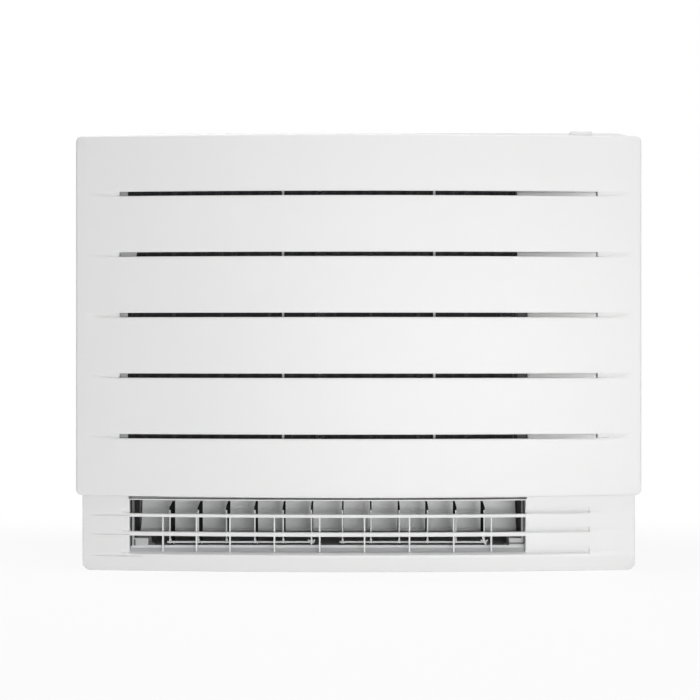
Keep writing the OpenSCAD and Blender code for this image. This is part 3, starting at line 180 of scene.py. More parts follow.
LAMPS = [
    # name, place, aim, width, height, watts
    ("soft_box_top", (-0.1, -0.3, 2.4), (0, -0.12, 0.3), 2.2, 0.6, 30),
    ("soft_box_above", (0.1, -1.7, 2.3), (0, -0.1, 0), 1.8, 1.2, 8),
    ("soft_box_right", (2.4, -1.6, 0.5), (0, -0.1, 0), 1.0, 1.4, 1.5),
    ("soft_box_front", (0.3, -3.0, 0.25), (0, -0.1, -0.08), 2.2, 0.9, 13),
    ("soft_box_rear", (-0.8, 2.6, 1.0), (0, 0, 0), 2.0, 1.2, 14),
    ("soft_box_low", (0.5, -2.2, -0.12), (0.1, -0.2, -0.26), 1.2, 0.25, 13),
]
for name, place, aim, wide, high, watts in LAMPS:
    lamp = bpy.data.lights.new(name, "AREA")
    lamp.shape = "RECTANGLE"
    lamp.size, lamp.size_y, lamp.energy = wide, high, watts
    lamp_object = bpy.data.objects.new(name, lamp)
    lamp_object.location = place
    lamp_object.rotation_euler = (Vector(aim) - Vector(place)).to_track_quat("-Z", "Y").to_euler()
    bpy.context.scene.collection.objects.link(lamp_object)

# Front panel: one white moulding, bowed forward, hooked on two pins at its foot.
# Five slots let air in; past their ends each goes on as a scooped groove that fades out.
# A web behind each slot's right end closes the view past the filters.
UNIT_DEPTH, FLOOR = 238, 300.0
PANEL_HALF, PANEL_FOOT, PANEL_TOP, PANEL_THICK, PANEL_CORNER = 375.0, 99.0, 577.0, 3.0, 8
PANEL_REAR, FOOT_LIP, FOOT_ARCH, EDGE_FLAT = -205.0, 3.8, 2.0, 12
BOW_SAG = 20
BOW_RADIUS = PANEL_HALF ** 2 / (2 * BOW_SAG) + BOW_SAG / 2
SLOTS = [180.0 + 80 * i for i in range(5)]
SLOT_END, GROOVE_END, GROOVE_RISE, GROOVE_WALL, GROOVE_FADE = 316.0, 362.0, 5.0, 1.2, 0.8
SLOT_COLUMNS, GROOVE_COLUMNS, HAIR = 20, 12, 0.001
# Rows of the sheet round a slot: height from its middle, depth along the slot, depth where the groove starts
SLOT_ROWS = [(-5.4, 0.0, 0.0), (-3.3, 1.5, 1.5), (-3.3, PANEL_THICK, 4.6), (2.5, PANEL_THICK, 1.0),
             (2.5, 0.9, 0.9), (3.9, 0.0, 0.0)]
SLOT_FLOOR_ROW = 2


def bow(x, behind=0.0):
    """Depth, in mm, of the bowed front at x, a distance behind its face."""
    return BOW_RADIUS - UNIT_DEPTH - math.sqrt((BOW_RADIUS - behind) ** 2 - x * x)


def moulded(name, colour, rough=0.42, grain=0.035, specular=0.5):
    """Injection moulded plastic: fine spark grain, faint flow marks, slightly uneven gloss."""
    made, shader, here = new_finish(name)
    shader.inputs["Specular IOR Level"].default_value = specular
    flow = here.noise(9.0, 2.0)
    spark = here.noise(1500.0, 2.0)
    streak = tuple(c * 0.975 for c in colour) + (1,)
    flow.mix(streak, tuple(colour) + (1,)).feed(shader, "Base Color")
    (rough + (flow - 0.5) * 0.06 + (spark - 0.5) * 0.08).feed(shader, "Roughness")
    spark.bump(grain, 0.0003).feed(shader, "Normal")
    return made


def piece(name, points, faces, finish, body, slot, bevel=0.0, smooth=32, even=False):
    """Makes a piece from points in mm, with heights from the floor, and rides it on a body."""
    mesh = bpy.data.meshes.new(name)
    mesh.from_pydata([(x / 1000, y / 1000, (h - FLOOR) / 1000) for x, y, h in points], [], faces)
    work = bmesh.new()
    work.from_mesh(mesh)
    bmesh.ops.remove_doubles(work, verts=work.verts, dist=1e-6)
    bmesh.ops.dissolve_degenerate(work, edges=work.edges, dist=1e-6)
    bmesh.ops.recalc_face_normals(work, faces=work.faces)
    work.to_mesh(mesh)
    work.free()
    mesh.shade_smooth()
    mesh.set_sharp_from_angle(angle=math.radians(smooth))
    mesh.materials.append(finish)
    made = bpy.data.objects.new(name, mesh)
    bpy.context.scene.collection.objects.link(made)
    if bevel:
        edge = made.modifiers.new("worn_edges", "BEVEL")
        edge.width, edge.segments, edge.limit_method = bevel / 1000, 2, "ANGLE"
        edge.angle_limit, edge.harden_normals = math.radians(35), True
    if even:
        made.modifiers.new("even_shading", "WEIGHTED_NORMAL").keep_sharp = True
    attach(made, body)
    return made


def join(*parts):
    """Several (points, faces) as one."""
    points, faces = [], []
    for more_points, more_faces in parts:
        faces += [tuple(i + len(points) for i in face) for face in more_faces]
        points += more_points
    return points, faces


def loft(rings):
    """Skins equal rings of points one after the other, and closes both ends."""
    count = len(rings[0])
    points = [p for ring in rings for p in ring]
    faces = []
    for i in range(len(rings) - 1):
        a, b = i * count, (i + 1) * count
        faces += [(a + j, a + (j + 1) % count, b + (j + 1) % count, b + j) for j in range(count)]
    faces += [tuple(range(count))[::-1], tuple(range(len(points) - count, len(points)))]
    return points, faces


def shell(front, back, hole, rim):
    """A front and a back sheet of one grid, joined round holes and, through rim, at the outside."""
    wide, high = len(front), len(front[0])
    points = [p for column in front for p in column] + [p for column in back for p in column]
    faces, kept = [], set()

    def at(i, j, side):
        return side * wide * high + i * high + j

    for i in range(wide - 1):
        for j in range(high - 1):
            if not hole(i, j):
                kept.add((i, j))
                faces.append((at(i, j, 0), at(i + 1, j, 0), at(i + 1, j + 1, 0), at(i, j + 1, 0)))
                faces.append((at(i, j, 1), at(i, j + 1, 1), at(i + 1, j + 1, 1), at(i + 1, j, 1)))
    for i, j in kept:
        for (di, dj), a, b in (((0, -1), (i, j), (i + 1, j)), ((1, 0), (i + 1, j), (i + 1, j + 1)),
                               ((0, 1), (i + 1, j + 1), (i, j + 1)), ((-1, 0), (i, j + 1), (i, j))):
            near = (i + di, j + dj)
            if near not in kept and 0 <= near[0] < wide - 1 and 0 <= near[1] < high - 1:
                faces.append((at(*a, 0), at(*a, 1), at(*b, 1), at(*b, 0)))
    loop = [(i, 0) for i in range(wide)] + [(wide - 1, j) for j in range(1, high)]
    loop += [(i, high - 1) for i in range(wide - 2, -1, -1)] + [(0, j) for j in range(high - 2, 0, -1)]
    strips = []
    for i, j in loop:
        strip = [at(i, j, 0)]
        for extra in rim(i, j):
            points.append(extra)
            strip.append(len(points) - 1)
        strips.append(strip + [at(i, j, 1)])
    for k, strip in enumerate(strips):
        follow = strips[(k + 1) % len(strips)]
        faces += [(strip[n], strip[n + 1], follow[n + 1], follow[n]) for n in range(len(strip) - 1)]
    return points, faces


def corner_columns(half, radius, inner):
    """Places across for the sheet of a round-cornered plate, from its left to its right edge."""
    arc = [half - radius + radius * math.sin(math.radians(a)) for a in range(0, 91, 15)]
    right = sorted(set(arc + [x for x in inner if x > 0]))
    return [-x for x in reversed(right)] + [x for x in inner if x == 0] + right


def corner_drop(x, half, radius):
    """How far a round corner lowers the top edge at x."""
    beyond = max(0.0, abs(x) - (half - radius))
    return radius - math.sqrt(max(0.0, radius * radius - beyond * beyond))


def outward(x, edge, half, radius):
    """The outline's outward direction at x on the top (1), bottom (-1) or a side (0)."""
    if edge == 0:
        return math.copysign(1, x), 0.0
    sine = min(1.0, max(0.0, abs(x) - (half - radius)) / radius)
    return math.copysign(sine, x), edge * math.sqrt(1 - sine * sine)


sheet_half, sheet_radius = PANEL_HALF - PANEL_THICK, PANEL_CORNER - PANEL_THICK
sheet_foot, sheet_top = PANEL_FOOT + PANEL_THICK, PANEL_TOP - PANEL_THICK
inner_columns = [0.0] + [SLOT_END * i / SLOT_COLUMNS for i in range(1, SLOT_COLUMNS + 1)] + [SLOT_END + HAIR]
inner_columns += [SLOT_END + (GROOVE_END - SLOT_END) * i / GROOVE_COLUMNS for i in range(1, GROOVE_COLUMNS + 1)]
columns = corner_columns(sheet_half, sheet_radius, inner_columns)
rows = [sheet_foot, sheet_foot + EDGE_FLAT]
rows += [slot + height for slot in SLOTS for height, _, _ in SLOT_ROWS]
rows += [sheet_top - EDGE_FLAT, sheet_top]
LAST_ROW = len(rows) - 1


def slot_row(row):
    """Which row of SLOT_ROWS this is, or None for the two rows at the panel's foot and at its top."""
    return (row - 2) % len(SLOT_ROWS) if 2 <= row <= LAST_ROW - 2 else None


def groove_run(x):
    """0 where a slot ends and 1 where its groove has faded out."""
    return min(1.0, max(0.0, (abs(x) - SLOT_END) / (GROOVE_END - SLOT_END)))


def panel_depth(x, row):
    """How far a row of the panel's sheet lies behind its curve."""
    kind = slot_row(row)
    if kind is None:
        return 0.0
    _, in_slot, in_groove = SLOT_ROWS[kind]
    if abs(x) <= SLOT_END:
        return in_slot
    return (1 - groove_run(x)) ** GROOVE_FADE * in_groove


def panel_height(x, row):
    """Height of a row of the panel's sheet: the foot is arched and the groove's floor rises as it fades."""
    drop = corner_drop(x, sheet_half, sheet_radius)
    if row < 2:
        return rows[row] + (1 - row) * drop + FOOT_ARCH * (x / PANEL_HALF) ** 2
    if row == LAST_ROW:
        return rows[row] - drop
    if slot_row(row) == SLOT_FLOOR_ROW:
        return rows[row] + GROOVE_RISE * groove_run(x)
    return rows[row]


def panel_behind(x, row):
    """Depth of the panel's inner face, which goes deeper behind the grooves."""
    return max(PANEL_THICK, panel_depth(x, row) + GROOVE_WALL * (abs(x) > SLOT_END))


panel_front = [[(x, bow(x, panel_depth(x, r)), panel_height(x, r)) for r in range(len(rows))] for x in columns]
panel_back = [[(x, bow(x, panel_behind(x, r)), panel_height(x, r)) for r in range(len(rows))] for x in columns]


def slot_hole(i, j):
    """Whether the sheet's cell between these columns and rows is open."""
    return slot_row(j) == SLOT_FLOOR_ROW and max(abs(columns[i]), abs(columns[i + 1])) <= SLOT_END


def panel_rim(i, j):
    """The rounded edge of the panel and the lip behind it."""
    x, h = columns[i], panel_height(columns[i], j)
    edge = -1 if j == 0 else 1 if j == LAST_ROW else 0
    way_x, way_h = outward(x, edge, sheet_half, sheet_radius)
    if edge == 0 and i not in (0, len(columns) - 1):
        return []
    ring = []
    for a in (22, 45, 68, 90):
        out, sink = PANEL_THICK * math.sin(math.radians(a)), PANEL_THICK * (1 - math.cos(math.radians(a)))
        ring.append((x + out * way_x, bow(x, sink), h + out * way_h))
    on_foot = edge == -1 and abs(x) < sheet_half - sheet_radius + 0.1
    lip_end = bow(x, FOOT_LIP) if on_foot else PANEL_REAR
    ring.append((x + PANEL_THICK * way_x, lip_end, h + PANEL_THICK * way_h))
    ring.append((x, lip_end, h))
    return ring


shell_white = moulded("shell_white", (0.845, 0.845, 0.843))
front_panel = piece("panel_moulding", *shell(panel_front, panel_back, slot_hole, panel_rim), shell_white,
                    "front_panel", "white_abs", smooth=30, even=True)
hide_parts("front_panel")


def rod(start, end, radius, sides=24):
    """A round bar between two points, with its end edges eased."""
    start, end = Vector(start), Vector(end)
    way = (end - start).normalized()
    side = way.orthogonal().normalized()
    other = way.cross(side)
    rings = []
    for centre, size in ((start, 0.8), (start + way * radius * 0.2, 1), (end - way * radius * 0.2, 1), (end, 0.8)):
        turn = [2 * math.pi * k / sides for k in range(sides)]
        rings.append([tuple(centre + (side * math.cos(t) + other * math.sin(t)) * radius * size) for t in turn])
    return loft(rings)


def block(low, high):
    """A box between two corners."""
    (x0, y0, h0), (x1, y1, h1) = low, high
    return loft([[(x0, y0, h), (x1, y0, h), (x1, y1, h), (x0, y1, h)] for h in (h0, h1)])


HINGE_X, HINGE_Y, HINGE_H = 200, -222, 104
ARM_HALF, EYE_RADIUS, PIN_HALF, PIN_RADIUS = 2, 3, 6, 2
hinge_parts = []
for x in (-HINGE_X, HINGE_X):
    hinge_parts.append(block((x - ARM_HALF, bow(x) + PANEL_THICK / 2, HINGE_H - EYE_RADIUS),
                             (x + ARM_HALF, HINGE_Y, HINGE_H + EYE_RADIUS)))
    for half, radius in ((ARM_HALF, EYE_RADIUS), (PIN_HALF, PIN_RADIUS)):
        hinge_parts.append(rod((x - half, HINGE_Y, HINGE_H), (x + half, HINGE_Y, HINGE_H), radius))
piece("panel_hinge_pins", *join(*hinge_parts), shell_white, "front_panel", "white_abs", bevel=0.3)

WEB_STARTS, WEB_END = (225.0, 225.0, 225.0, 210.5, 210.5), SLOT_END - 1.8
WEB_DEEP, WEB_GAP, WEB_STEPS = 13.0, 0.1, 8
# Outline of a web: height from the slot's middle, distance behind the web's front
WEB_SECTION = ((-5.5, 0.0), (1.2, 0.6), (5.5, 5.5), (5.5, 6.7), (1.2, 1.8), (-5.5, 1.2))
web_parts = []
for slot, web_start in zip(SLOTS, WEB_STARTS):
    web_rings = []
    for i in range(WEB_STEPS + 1):
        x = web_start + (WEB_END - web_start) * i / WEB_STEPS
        near = bow(x, PANEL_THICK) + WEB_DEEP * (1 - i / WEB_STEPS) + WEB_GAP
        web_rings.append([(x, near + behind, slot + height) for height, behind in WEB_SECTION])
    web_parts.append(loft(web_rings))
piece("panel_slot_guides", *join(*web_parts), shell_white, "front_panel", "white_abs", smooth=50)

# Outlet fascia: the bowed lower front, one white moulding under the panel.
# Three bands lean inward towards their foot, each ending on a ledge; the ledges fade out at the sides.
FASCIA_HALF, FASCIA_CORNER, FASCIA_EDGE, FASCIA_REAR, FASCIA_TOP = 368.0, 8, 2, -204.3, 99.6
SETBACK, STEP, CREASES = 9.0, 5.4, (25.4, 54.0, 79.3)
MOUTH, MOUTH_RELIEF = (-304.2, 220.9, 25.4, 94.8), 1.3
LEFT_LEDGE_RUN, RIGHT_LEDGE, RIGHT_LEDGE_RUN, RIGHT_LEDGE_SHARE = 7, 305, 48, 0.22
LEFT_GROOVE, LEFT_GROOVE_RUN = -362, 20
# Rows round a crease: height from it, share of the step, depth of the left groove
CREASE_ROWS = [(-6.2, 0.0, 0.0), (-5.1, 0.0, 1.8), (-4.5, 0.0, 0.7), (-2.6, 0.08, 0.0), (0.0, 1.0, 0.0),
               (1.4, 0.72, 0.0), (3.2, 0.42, 0.0), (6.0, 0.16, 0.0), (10.0, 0.0, 0.0)]
# Rows of the sheet: height, how far the foot's rounding draws it in, share of the step, depth of the left groove
fascia_rows = [(2.0, 3.2, 0.0, 0.0), (6.0, 1.5, 0.0, 0.0)]
fascia_rows += [(crease + height, 0.0, share, groove) for crease in CREASES for height, share, groove in CREASE_ROWS]
fascia_rows += [(MOUTH[3], 0.0, 0.0, 0.0), (96.0, 0.0, 0.0, 0.0)]
fascia_columns = corner_columns(FASCIA_HALF - FASCIA_EDGE, FASCIA_CORNER, [0.0])
fascia_columns += [LEFT_GROOVE + 12 * i for i in range(5)]
fascia_columns += [MOUTH[0] + (MOUTH[1] - MOUTH[0]) * i / 30 for i in range(31)]
fascia_columns += [MOUTH[0] - 1.6, MOUTH[0] - 1.2, MOUTH[1] + 1.2, MOUTH[1] + 1.6]
fascia_columns += [232 + 14 * i for i in range(6)] + [RIGHT_LEDGE, RIGHT_LEDGE + 2] + [315 + 8 * i for i in range(6)]
fascia_columns = sorted(set(round(x, 3) for x in fascia_columns))


def fascia_depth(x, row):
    """How far a row of the fascia lies behind its curve."""
    foot, ledge, groove = fascia_rows[row][1:]
    step = 1.0
    if x < MOUTH[0]:
        step = max(0.0, 1 + (x - MOUTH[0]) / LEFT_LEDGE_RUN)
    if x > RIGHT_LEDGE:
        step = max(0.0, RIGHT_LEDGE_SHARE * (1 - (x - RIGHT_LEDGE) / RIGHT_LEDGE_RUN))
    left = 0.0 if x > MOUTH[0] else min(1.0, max(0.0, (x - LEFT_GROOVE) / LEFT_GROOVE_RUN))
    return SETBACK + foot + STEP * ledge * step + groove * left


def fascia_height(x, row):
    """Height of a row: the corners are round, and beside the mouth the top follows the panel's arched foot."""
    if row == 0:
        return fascia_rows[0][0] + corner_drop(x, FASCIA_HALF - FASCIA_EDGE, FASCIA_CORNER)
    if row == len(fascia_rows) - 1 and not MOUTH[0] - MOUTH_RELIEF < x < MOUTH[1] + MOUTH_RELIEF:
        return FASCIA_TOP + FOOT_ARCH * (x / PANEL_HALF) ** 2
    return fascia_rows[row][0]


def fascia_hole(i, j):
    """Whether the sheet's cell between these columns and rows lies in the outlet's mouth."""
    inside = MOUTH[0] - 0.1 < fascia_columns[i] and fascia_columns[i + 1] < MOUTH[1] + 0.1
    return inside and MOUTH[2] - 0.1 < fascia_rows[j][0] and fascia_rows[j + 1][0] < MOUTH[3] + 0.1


def fascia_rim(i, j):
    """The fascia's edge: rounded at the foot and the sides, and straight back at the top."""
    x, h = fascia_columns[i], fascia_height(fascia_columns[i], j)
    y = bow(x, fascia_depth(x, j))
    if j == 0:
        way_x, way_h = outward(x, -1, FASCIA_HALF - FASCIA_EDGE, FASCIA_CORNER)
    elif i in (0, len(fascia_columns) - 1):
        way_x, way_h = math.copysign(1, x), 0.0
    else:
        way_x, way_h = 0.0, 0.0
    size = FASCIA_EDGE if way_x or way_h else 0
    ring = []
    for a in (30, 60, 90):
        out, sink = size * math.sin(math.radians(a)), size * (1 - math.cos(math.radians(a)))
        ring.append((x + out * way_x, min(y + sink, FASCIA_REAR - 0.2), h + out * way_h))
    ring.append((x + size * way_x, FASCIA_REAR, h + size * way_h))
    return ring


fascia_front = [[(x, bow(x, fascia_depth(x, r)), fascia_height(x, r)) for r in range(len(fascia_rows))]
                for x in fascia_columns]
fascia_back = [[(x, FASCIA_REAR, fascia_height(x, r)) for r in range(len(fascia_rows))] for x in fascia_columns]
fascia = piece("fascia_moulding", *shell(fascia_front, fascia_back, fascia_hole, fascia_rim), shell_white,
               "root", "white_abs", smooth=24, even=True)
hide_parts("outlet_fascia")

# Outlet guard: two level bars that follow the bow, and nine uprights behind them.
# White moulded bars with softly rounded edges, so each shows a lit top and a greyer face.
BARS, BAR_DEEP = ((76.7, 0.76), (52.9, 0.95)), 5.0
BAR_SECTION = [(5.0, -0.5), (4.6, 0.0), (1.2, -0.1), (0.5, -0.4), (0.0, -1.2), (0.0, -5.0), (0.3, -5.7),
               (1.0, -6.0), (4.4, -6.0), (5.0, -5.6)]
BAR_SEAT, BAR_STEPS = 0.2, 40
UPRIGHTS = [-260.2, -215.3, -170.6, -111.6, -51.6, 7.7, 67.1, 125.8, 175.7]
UPRIGHT_WIDE, UPRIGHT_DEEP, UPRIGHT_ROUND, UPRIGHT_GAP = 2.2, 5.0, 0.8, 0.8
# Rings of an upright: height and share of its full thickness
UPRIGHT_RINGS = ((25.7, 0.9), (26.0, 1), (75.9, 1), (76.2, 0.9))


def rounded(width, height, radius, steps=3):
    """Points of a round-cornered rectangle about its middle."""
    ring = []
    for k, (sx, sy) in enumerate(((1, 1), (-1, 1), (-1, -1), (1, -1))):
        for n in range(steps + 1):
            a = math.radians(90 * (k + n / steps))
            ring.append((sx * (width / 2 - radius) + radius * math.cos(a),
                         sy * (height / 2 - radius) + radius * math.sin(a)))
    return ring


bars = []
bar_length = MOUTH[1] - MOUTH[0] + 2 * BAR_SEAT
for top, tall in BARS:
    places = [MOUTH[0] - BAR_SEAT + bar_length * i / BAR_STEPS for i in range(BAR_STEPS + 1)]
    bars.append(loft([[(x, bow(x, SETBACK + u), top + v * tall) for u, v in BAR_SECTION] for x in places]))
guard = piece("guard_level_bars", *join(*bars), shell_white, "root", "white_abs", smooth=30)
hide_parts("guard_bars")
posts = []
for x in UPRIGHTS:
    y = bow(x, SETBACK + BAR_DEEP) + UPRIGHT_GAP + UPRIGHT_DEEP / 2
    posts.append(loft([[(x + u * s, y + v * s, h) for u, v in rounded(UPRIGHT_WIDE, UPRIGHT_DEEP, UPRIGHT_ROUND)]
                       for h, s in UPRIGHT_RINGS]))
post_guard = piece("guard_upright_bars", *join(*posts), shell_white, "root", "white_abs", smooth=50)
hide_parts("guard_uprights")

# Lower louvre blades: twelve dull plates painted near black as shade, on short upright pivots, in two groups of six.
# Each carries a pale front edge, and below it a pale tongue that holds the link rod's pin.
BLADE_X = [-252 + 37.8 * i for i in range(6)] + [-21.5 + 37.8 * i for i in range(6)]
PIVOT_Y, LINK_Y, BLADE_THICK, TONGUE_THICK = -172.0, -201.5, 1.8, 1.4
BLADE_SIDE = [(-160, 31.5), (-160, 90.6), (-204, 83.2), (-205, 82.2), (-205, 81), (-203.2, 79.6), (-203.2, 47),
              (-200, 47), (-200, 40.5), (-190.5, 40.5), (-190.5, 31.5)]
BLADE_EDGE = [(-205, 47), (-205, 79.5), (-203.1, 79.5), (-203.1, 47)]
BLADE_TONGUE = [(-204.6, 39.5), (-204.6, 47), (-199.8, 47), (-199.8, 39.5)]
# A blade's round pins: depth, lower end, upper end, radius
BLADE_PINS = ((LINK_Y, 35, 41, 1.5), (PIVOT_Y, 27.8, 32.5, 2), (PIVOT_Y, 88, 98.2, 2))


def plate(outline, x0, x1):
    """A flat plate that stands across the unit, from its outline of depth and height."""
    return loft([[(x, y, h) for y, h in outline] for x in (x0, x1)])


# Painted shade: the blades' plates near black, beside their pale front edges and tongues
blade_shade_dark = moulded("blade_shade_dark", (0.022, 0.022, 0.024), rough=0.9, grain=0.05, specular=0.02)
pale_plastic = moulded("pale_plastic", (0.70, 0.71, 0.715), rough=0.46)
for number, x in enumerate(BLADE_X, 1):
    body = "lower_blade_%d" % number
    leaf = piece("blade_leaf_%d" % number, *plate(BLADE_SIDE, x - BLADE_THICK / 2, x + BLADE_THICK / 2), blade_shade_dark,
                 body, "dark_abs", bevel=0.35)
    edge_parts = [plate(BLADE_EDGE, x - BLADE_THICK / 2, x + BLADE_THICK / 2),
                  plate(BLADE_TONGUE, x - TONGUE_THICK / 2, x + TONGUE_THICK / 2)]
    edge_parts += [rod((x, y, foot), (x, y, head), radius) for y, foot, head, radius in BLADE_PINS]
    piece("blade_edge_%d" % number, *join(*edge_parts), pale_plastic, body, "light_abs", bevel=0.25)
    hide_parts(body)

# Link rods: a flat pale bar under each group of blades joins their pins.
# At its last blade it carries a finger tab with two small curved wings, to steer the air by hand.
ROD_LOW, ROD_HIGH, ROD_HALF, ROD_BEYOND, ROD_EASE = 35.9, 37.9, 3.2, 4.5, 0.4
PRONG_Y, PRONG_H, PRONG_DROP, PRONG_SIZE = -206.6, 38.5, 6, (1.2, 1.0)
WING_Y, WING_H, WING_CURL, WING_SIZE = -206.4, 38.2, 0.10, (0.75, 0.9)
PRONG_PLACES, WING_PLACES = (-1, -0.96, 0.7, 0.74), (-4.6, -3.4, -1.7, 0, 1.7, 3.4, 4.6)
NECK_HALF, NECK_FRONT, NECK_SEAT, NECK_LOW, NECK_HIGH = 1.2, -206.2, 0.6, 36, 39


def sweep_bar(path, half_wide, half_high):
    """A small round-edged bar along a path of points in front view, with width and height as halves."""
    rings = []
    for k, (x, y, h) in enumerate(path):
        before, after = path[max(0, k - 1)], path[min(len(path) - 1, k + 1)]
        way = Vector((after[0] - before[0], 0, after[2] - before[2])).normalized()
        side = Vector((-way.z, 0, way.x))
        rings.append([tuple(Vector((x, y, h)) + side * u + Vector((0, v, 0)))
                      for u, v in rounded(2 * half_wide, 2 * half_high, 0.7 * min(half_wide, half_high))])
    return loft(rings)


for side, first, last, lean in (("left", 0, 5, 0.0), ("right", 6, 11, 2.6)):
    x0, x1 = BLADE_X[first] - ROD_BEYOND, BLADE_X[last] + ROD_BEYOND
    ends = []
    for end, turn in ((x1, 1), (x0, -1)):
        for a in map(math.radians, range(-90, 91, 15)):
            ends.append((end - turn * ROD_HALF + turn * ROD_HALF * math.cos(a), turn * ROD_HALF * math.sin(a)))
    flat = loft([[(x, LINK_Y + v * s, h) for x, v in ends] for h, s in
                 ((ROD_LOW, 0.86), (ROD_LOW + ROD_EASE, 1), (ROD_HIGH - ROD_EASE, 1), (ROD_HIGH, 0.86))])
    tab_x = BLADE_X[last]
    prong = sweep_bar([(tab_x + lean * t, PRONG_Y, PRONG_H - PRONG_DROP * t) for t in PRONG_PLACES], *PRONG_SIZE)
    wing = sweep_bar([(tab_x + u, WING_Y, WING_H + WING_CURL * u * u) for u in WING_PLACES], *WING_SIZE)
    neck = block((tab_x - NECK_HALF, NECK_FRONT, NECK_LOW),
                 (tab_x + NECK_HALF, LINK_Y - ROD_HALF + NECK_SEAT, NECK_HIGH))
    link = piece("link_rod_" + side, *join(flat, prong, wing, neck), pale_plastic, "lower_rod_" + side, "light_abs",
                 smooth=50)
    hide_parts("lower_rod_" + side)

# Lower damper: a curved plate of pale plastic on a level axle under the duct's ceiling.
# It swings forward out of the air's way; its foot is rolled into a bead that catches the light.
DAMPER_Y, DAMPER_H, DAMPER_R, DAMPER_THICK = -141.0, 90.0, 80.0, 2
DAMPER_X0, DAMPER_X1 = -299.1, 216.3
BEAD_BACK, BEAD_UP, BEAD_RADIUS = 0.4, 1.2, 1.9
DAMPER_SWEEP = range(0, 35, 2)
# Its axle, thick along the plate and thin in the bearings: left end, right end, radius
AXLE_STEPS = ((-299.3, 219.3, 3.6), (-303.4, 229.4, 2))
section = []
for radius, sweep in ((DAMPER_R, DAMPER_SWEEP), (DAMPER_R + DAMPER_THICK, reversed(DAMPER_SWEEP))):
    for a in map(math.radians, sweep):
        section.append((DAMPER_Y - DAMPER_R + radius * math.cos(a), DAMPER_H - radius * math.sin(a)))
damper_pale = moulded("damper_pale", (0.82, 0.825, 0.83), rough=0.4)
foot_y, foot_h = section[len(DAMPER_SWEEP) - 1]
bead_y, bead_h = foot_y + BEAD_BACK, foot_h + BEAD_UP
damper_parts = [plate(section, DAMPER_X0, DAMPER_X1),
                rod((DAMPER_X0, bead_y, bead_h), (DAMPER_X1, bead_y, bead_h), BEAD_RADIUS)]
damper_parts += [rod((x0, DAMPER_Y, DAMPER_H), (x1, DAMPER_Y, DAMPER_H), radius) for x0, x1, radius in AXLE_STEPS]
damper = piece("damper_plate", *join(*damper_parts), damper_pale, "lower_damper", "grey_abs", bevel=0.4)
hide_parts("lower_damper")

# Outlet duct: one pale moulding with a level floor that curves up behind the damper.
# Its front edges and the raised blocks at both ends are light; deeper in, the floor and walls are painted a darker
# grey as shade.
# A sill and two rounded block edges trim its mouth; at the mouth's ends stand dark sheets and grey strips, both
# painted shade.


def dress(node, finish, round_edges=0.5):
    """Gives a CAD node its finish; edges as round as a mould leaves them are made in the shading."""
    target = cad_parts[node]
    target.data.materials.clear()
    target.data.materials.append(finish)
    shader = finish.node_tree.nodes["Principled BSDF"]
    if round_edges and not shader.inputs["Normal"].is_linked:
        shading = Signal(shader.outputs[0])
        shading.node("Bevel", {"samples": 4}, {"Radius": round_edges / 1000}).feed(shader, "Normal")


# In metres: the end walls' places across, and the depths past which the walls and the floor are painted darker as
# shade
END_WALLS, WALL_SHADE, FLOOR_SHADE = (-0.3005, 0.2205), (-0.2035, -0.2030), (-0.178, -0.174)
duct_shaded, duct_shader, duct_place = new_finish("duct_shaded")
duct_shader.inputs["Specular IOR Level"].default_value = 0.3
duct_y = duct_place.along(1)
grime = duct_place.noise(26.0, 3.0)
near_end_wall = 1 - duct_place.along(0).between(*END_WALLS, 0.0002)
# Painted shade: the duct deeper than FLOOR_SHADE, and its end walls deeper than WALL_SHADE, take the darker grey
lit = (1 - duct_y.over(*FLOOR_SHADE)) * (1 - near_end_wall * duct_y.over(*WALL_SHADE))
duct_tone = lit + (1 - lit) * (grime - 0.5) * 0.02
duct_tone.mix((0.42, 0.42, 0.421, 1), (0.52, 0.522, 0.525, 1)).feed(duct_shader, "Base Color")
(0.5 + (grime - 0.5) * 0.15).feed(duct_shader, "Roughness")
dress("lower_duct", duct_shaded)

SILL = [(-213.4, 25.5), (-205.2, 29.6), (-204.2, 32.8), (-203.6, 32.8), (-203.6, 25.5)]
SILL_GAP, DUCT_FLOOR, BLOCK_CORNER, RIGHT_BLOCK_TOP = 0.3, 30, 4.0, 42.4
# The raised blocks' inner edges: place across and the way to the mouth's middle; then their front and rear
BLOCK_EDGES, BLOCK_DEPTHS = ((-281.0, 1), (201.0, -1)), (-203.9, -170.5)
trim_parts = [plate(SILL, MOUTH[0] + SILL_GAP, MOUTH[1] - SILL_GAP)]
for x, way in BLOCK_EDGES:
    corner_top = DUCT_FLOOR + BLOCK_CORNER + 1
    corner = [(x - way, float(DUCT_FLOOR)), (x - way, corner_top), (x, corner_top)]
    for a in map(math.radians, range(0, 91, 15)):
        corner.append((x + way * BLOCK_CORNER * (1 - math.cos(a)), DUCT_FLOOR + BLOCK_CORNER * (1 - math.sin(a))))
    trim_parts.append(loft([[(u, y, h) for u, h in corner] for y in BLOCK_DEPTHS]))
piece("duct_mouth_trim", *join(*trim_parts), pale_plastic, "root", "light_abs", bevel=0.2, smooth=40)
shade_dark = moulded("shade_dark", (0.02, 0.02, 0.021), rough=0.7, grain=0.02, specular=0.2)
# Corners of the dark sheets painted as shade: beside the guard's ends, along the end walls, and at the raised blocks
SHADE_SHEETS = (((-304.1, -208.5, 32), (-302.9, -203.9, 94.6)), ((220.2, -208.5, 36.2), (220.8, -203.9, 94.6)),
          ((-302.8, -203.3, 30), (-299.6, -158.5, 95.2)), ((216.8, -203.3, RIGHT_BLOCK_TOP), (220.9, -158.5, 95.2)),
          ((-299.7, -204.35, 27.5), (-298.2, -203.7, 40.5)), ((201.2, -204.3, 34.8), (220.8, -203.8, 36.1)))
piece("duct_shade_sheets", *join(*[block(low, high) for low, high in SHADE_SHEETS]), shade_dark, "root", "dark_abs")
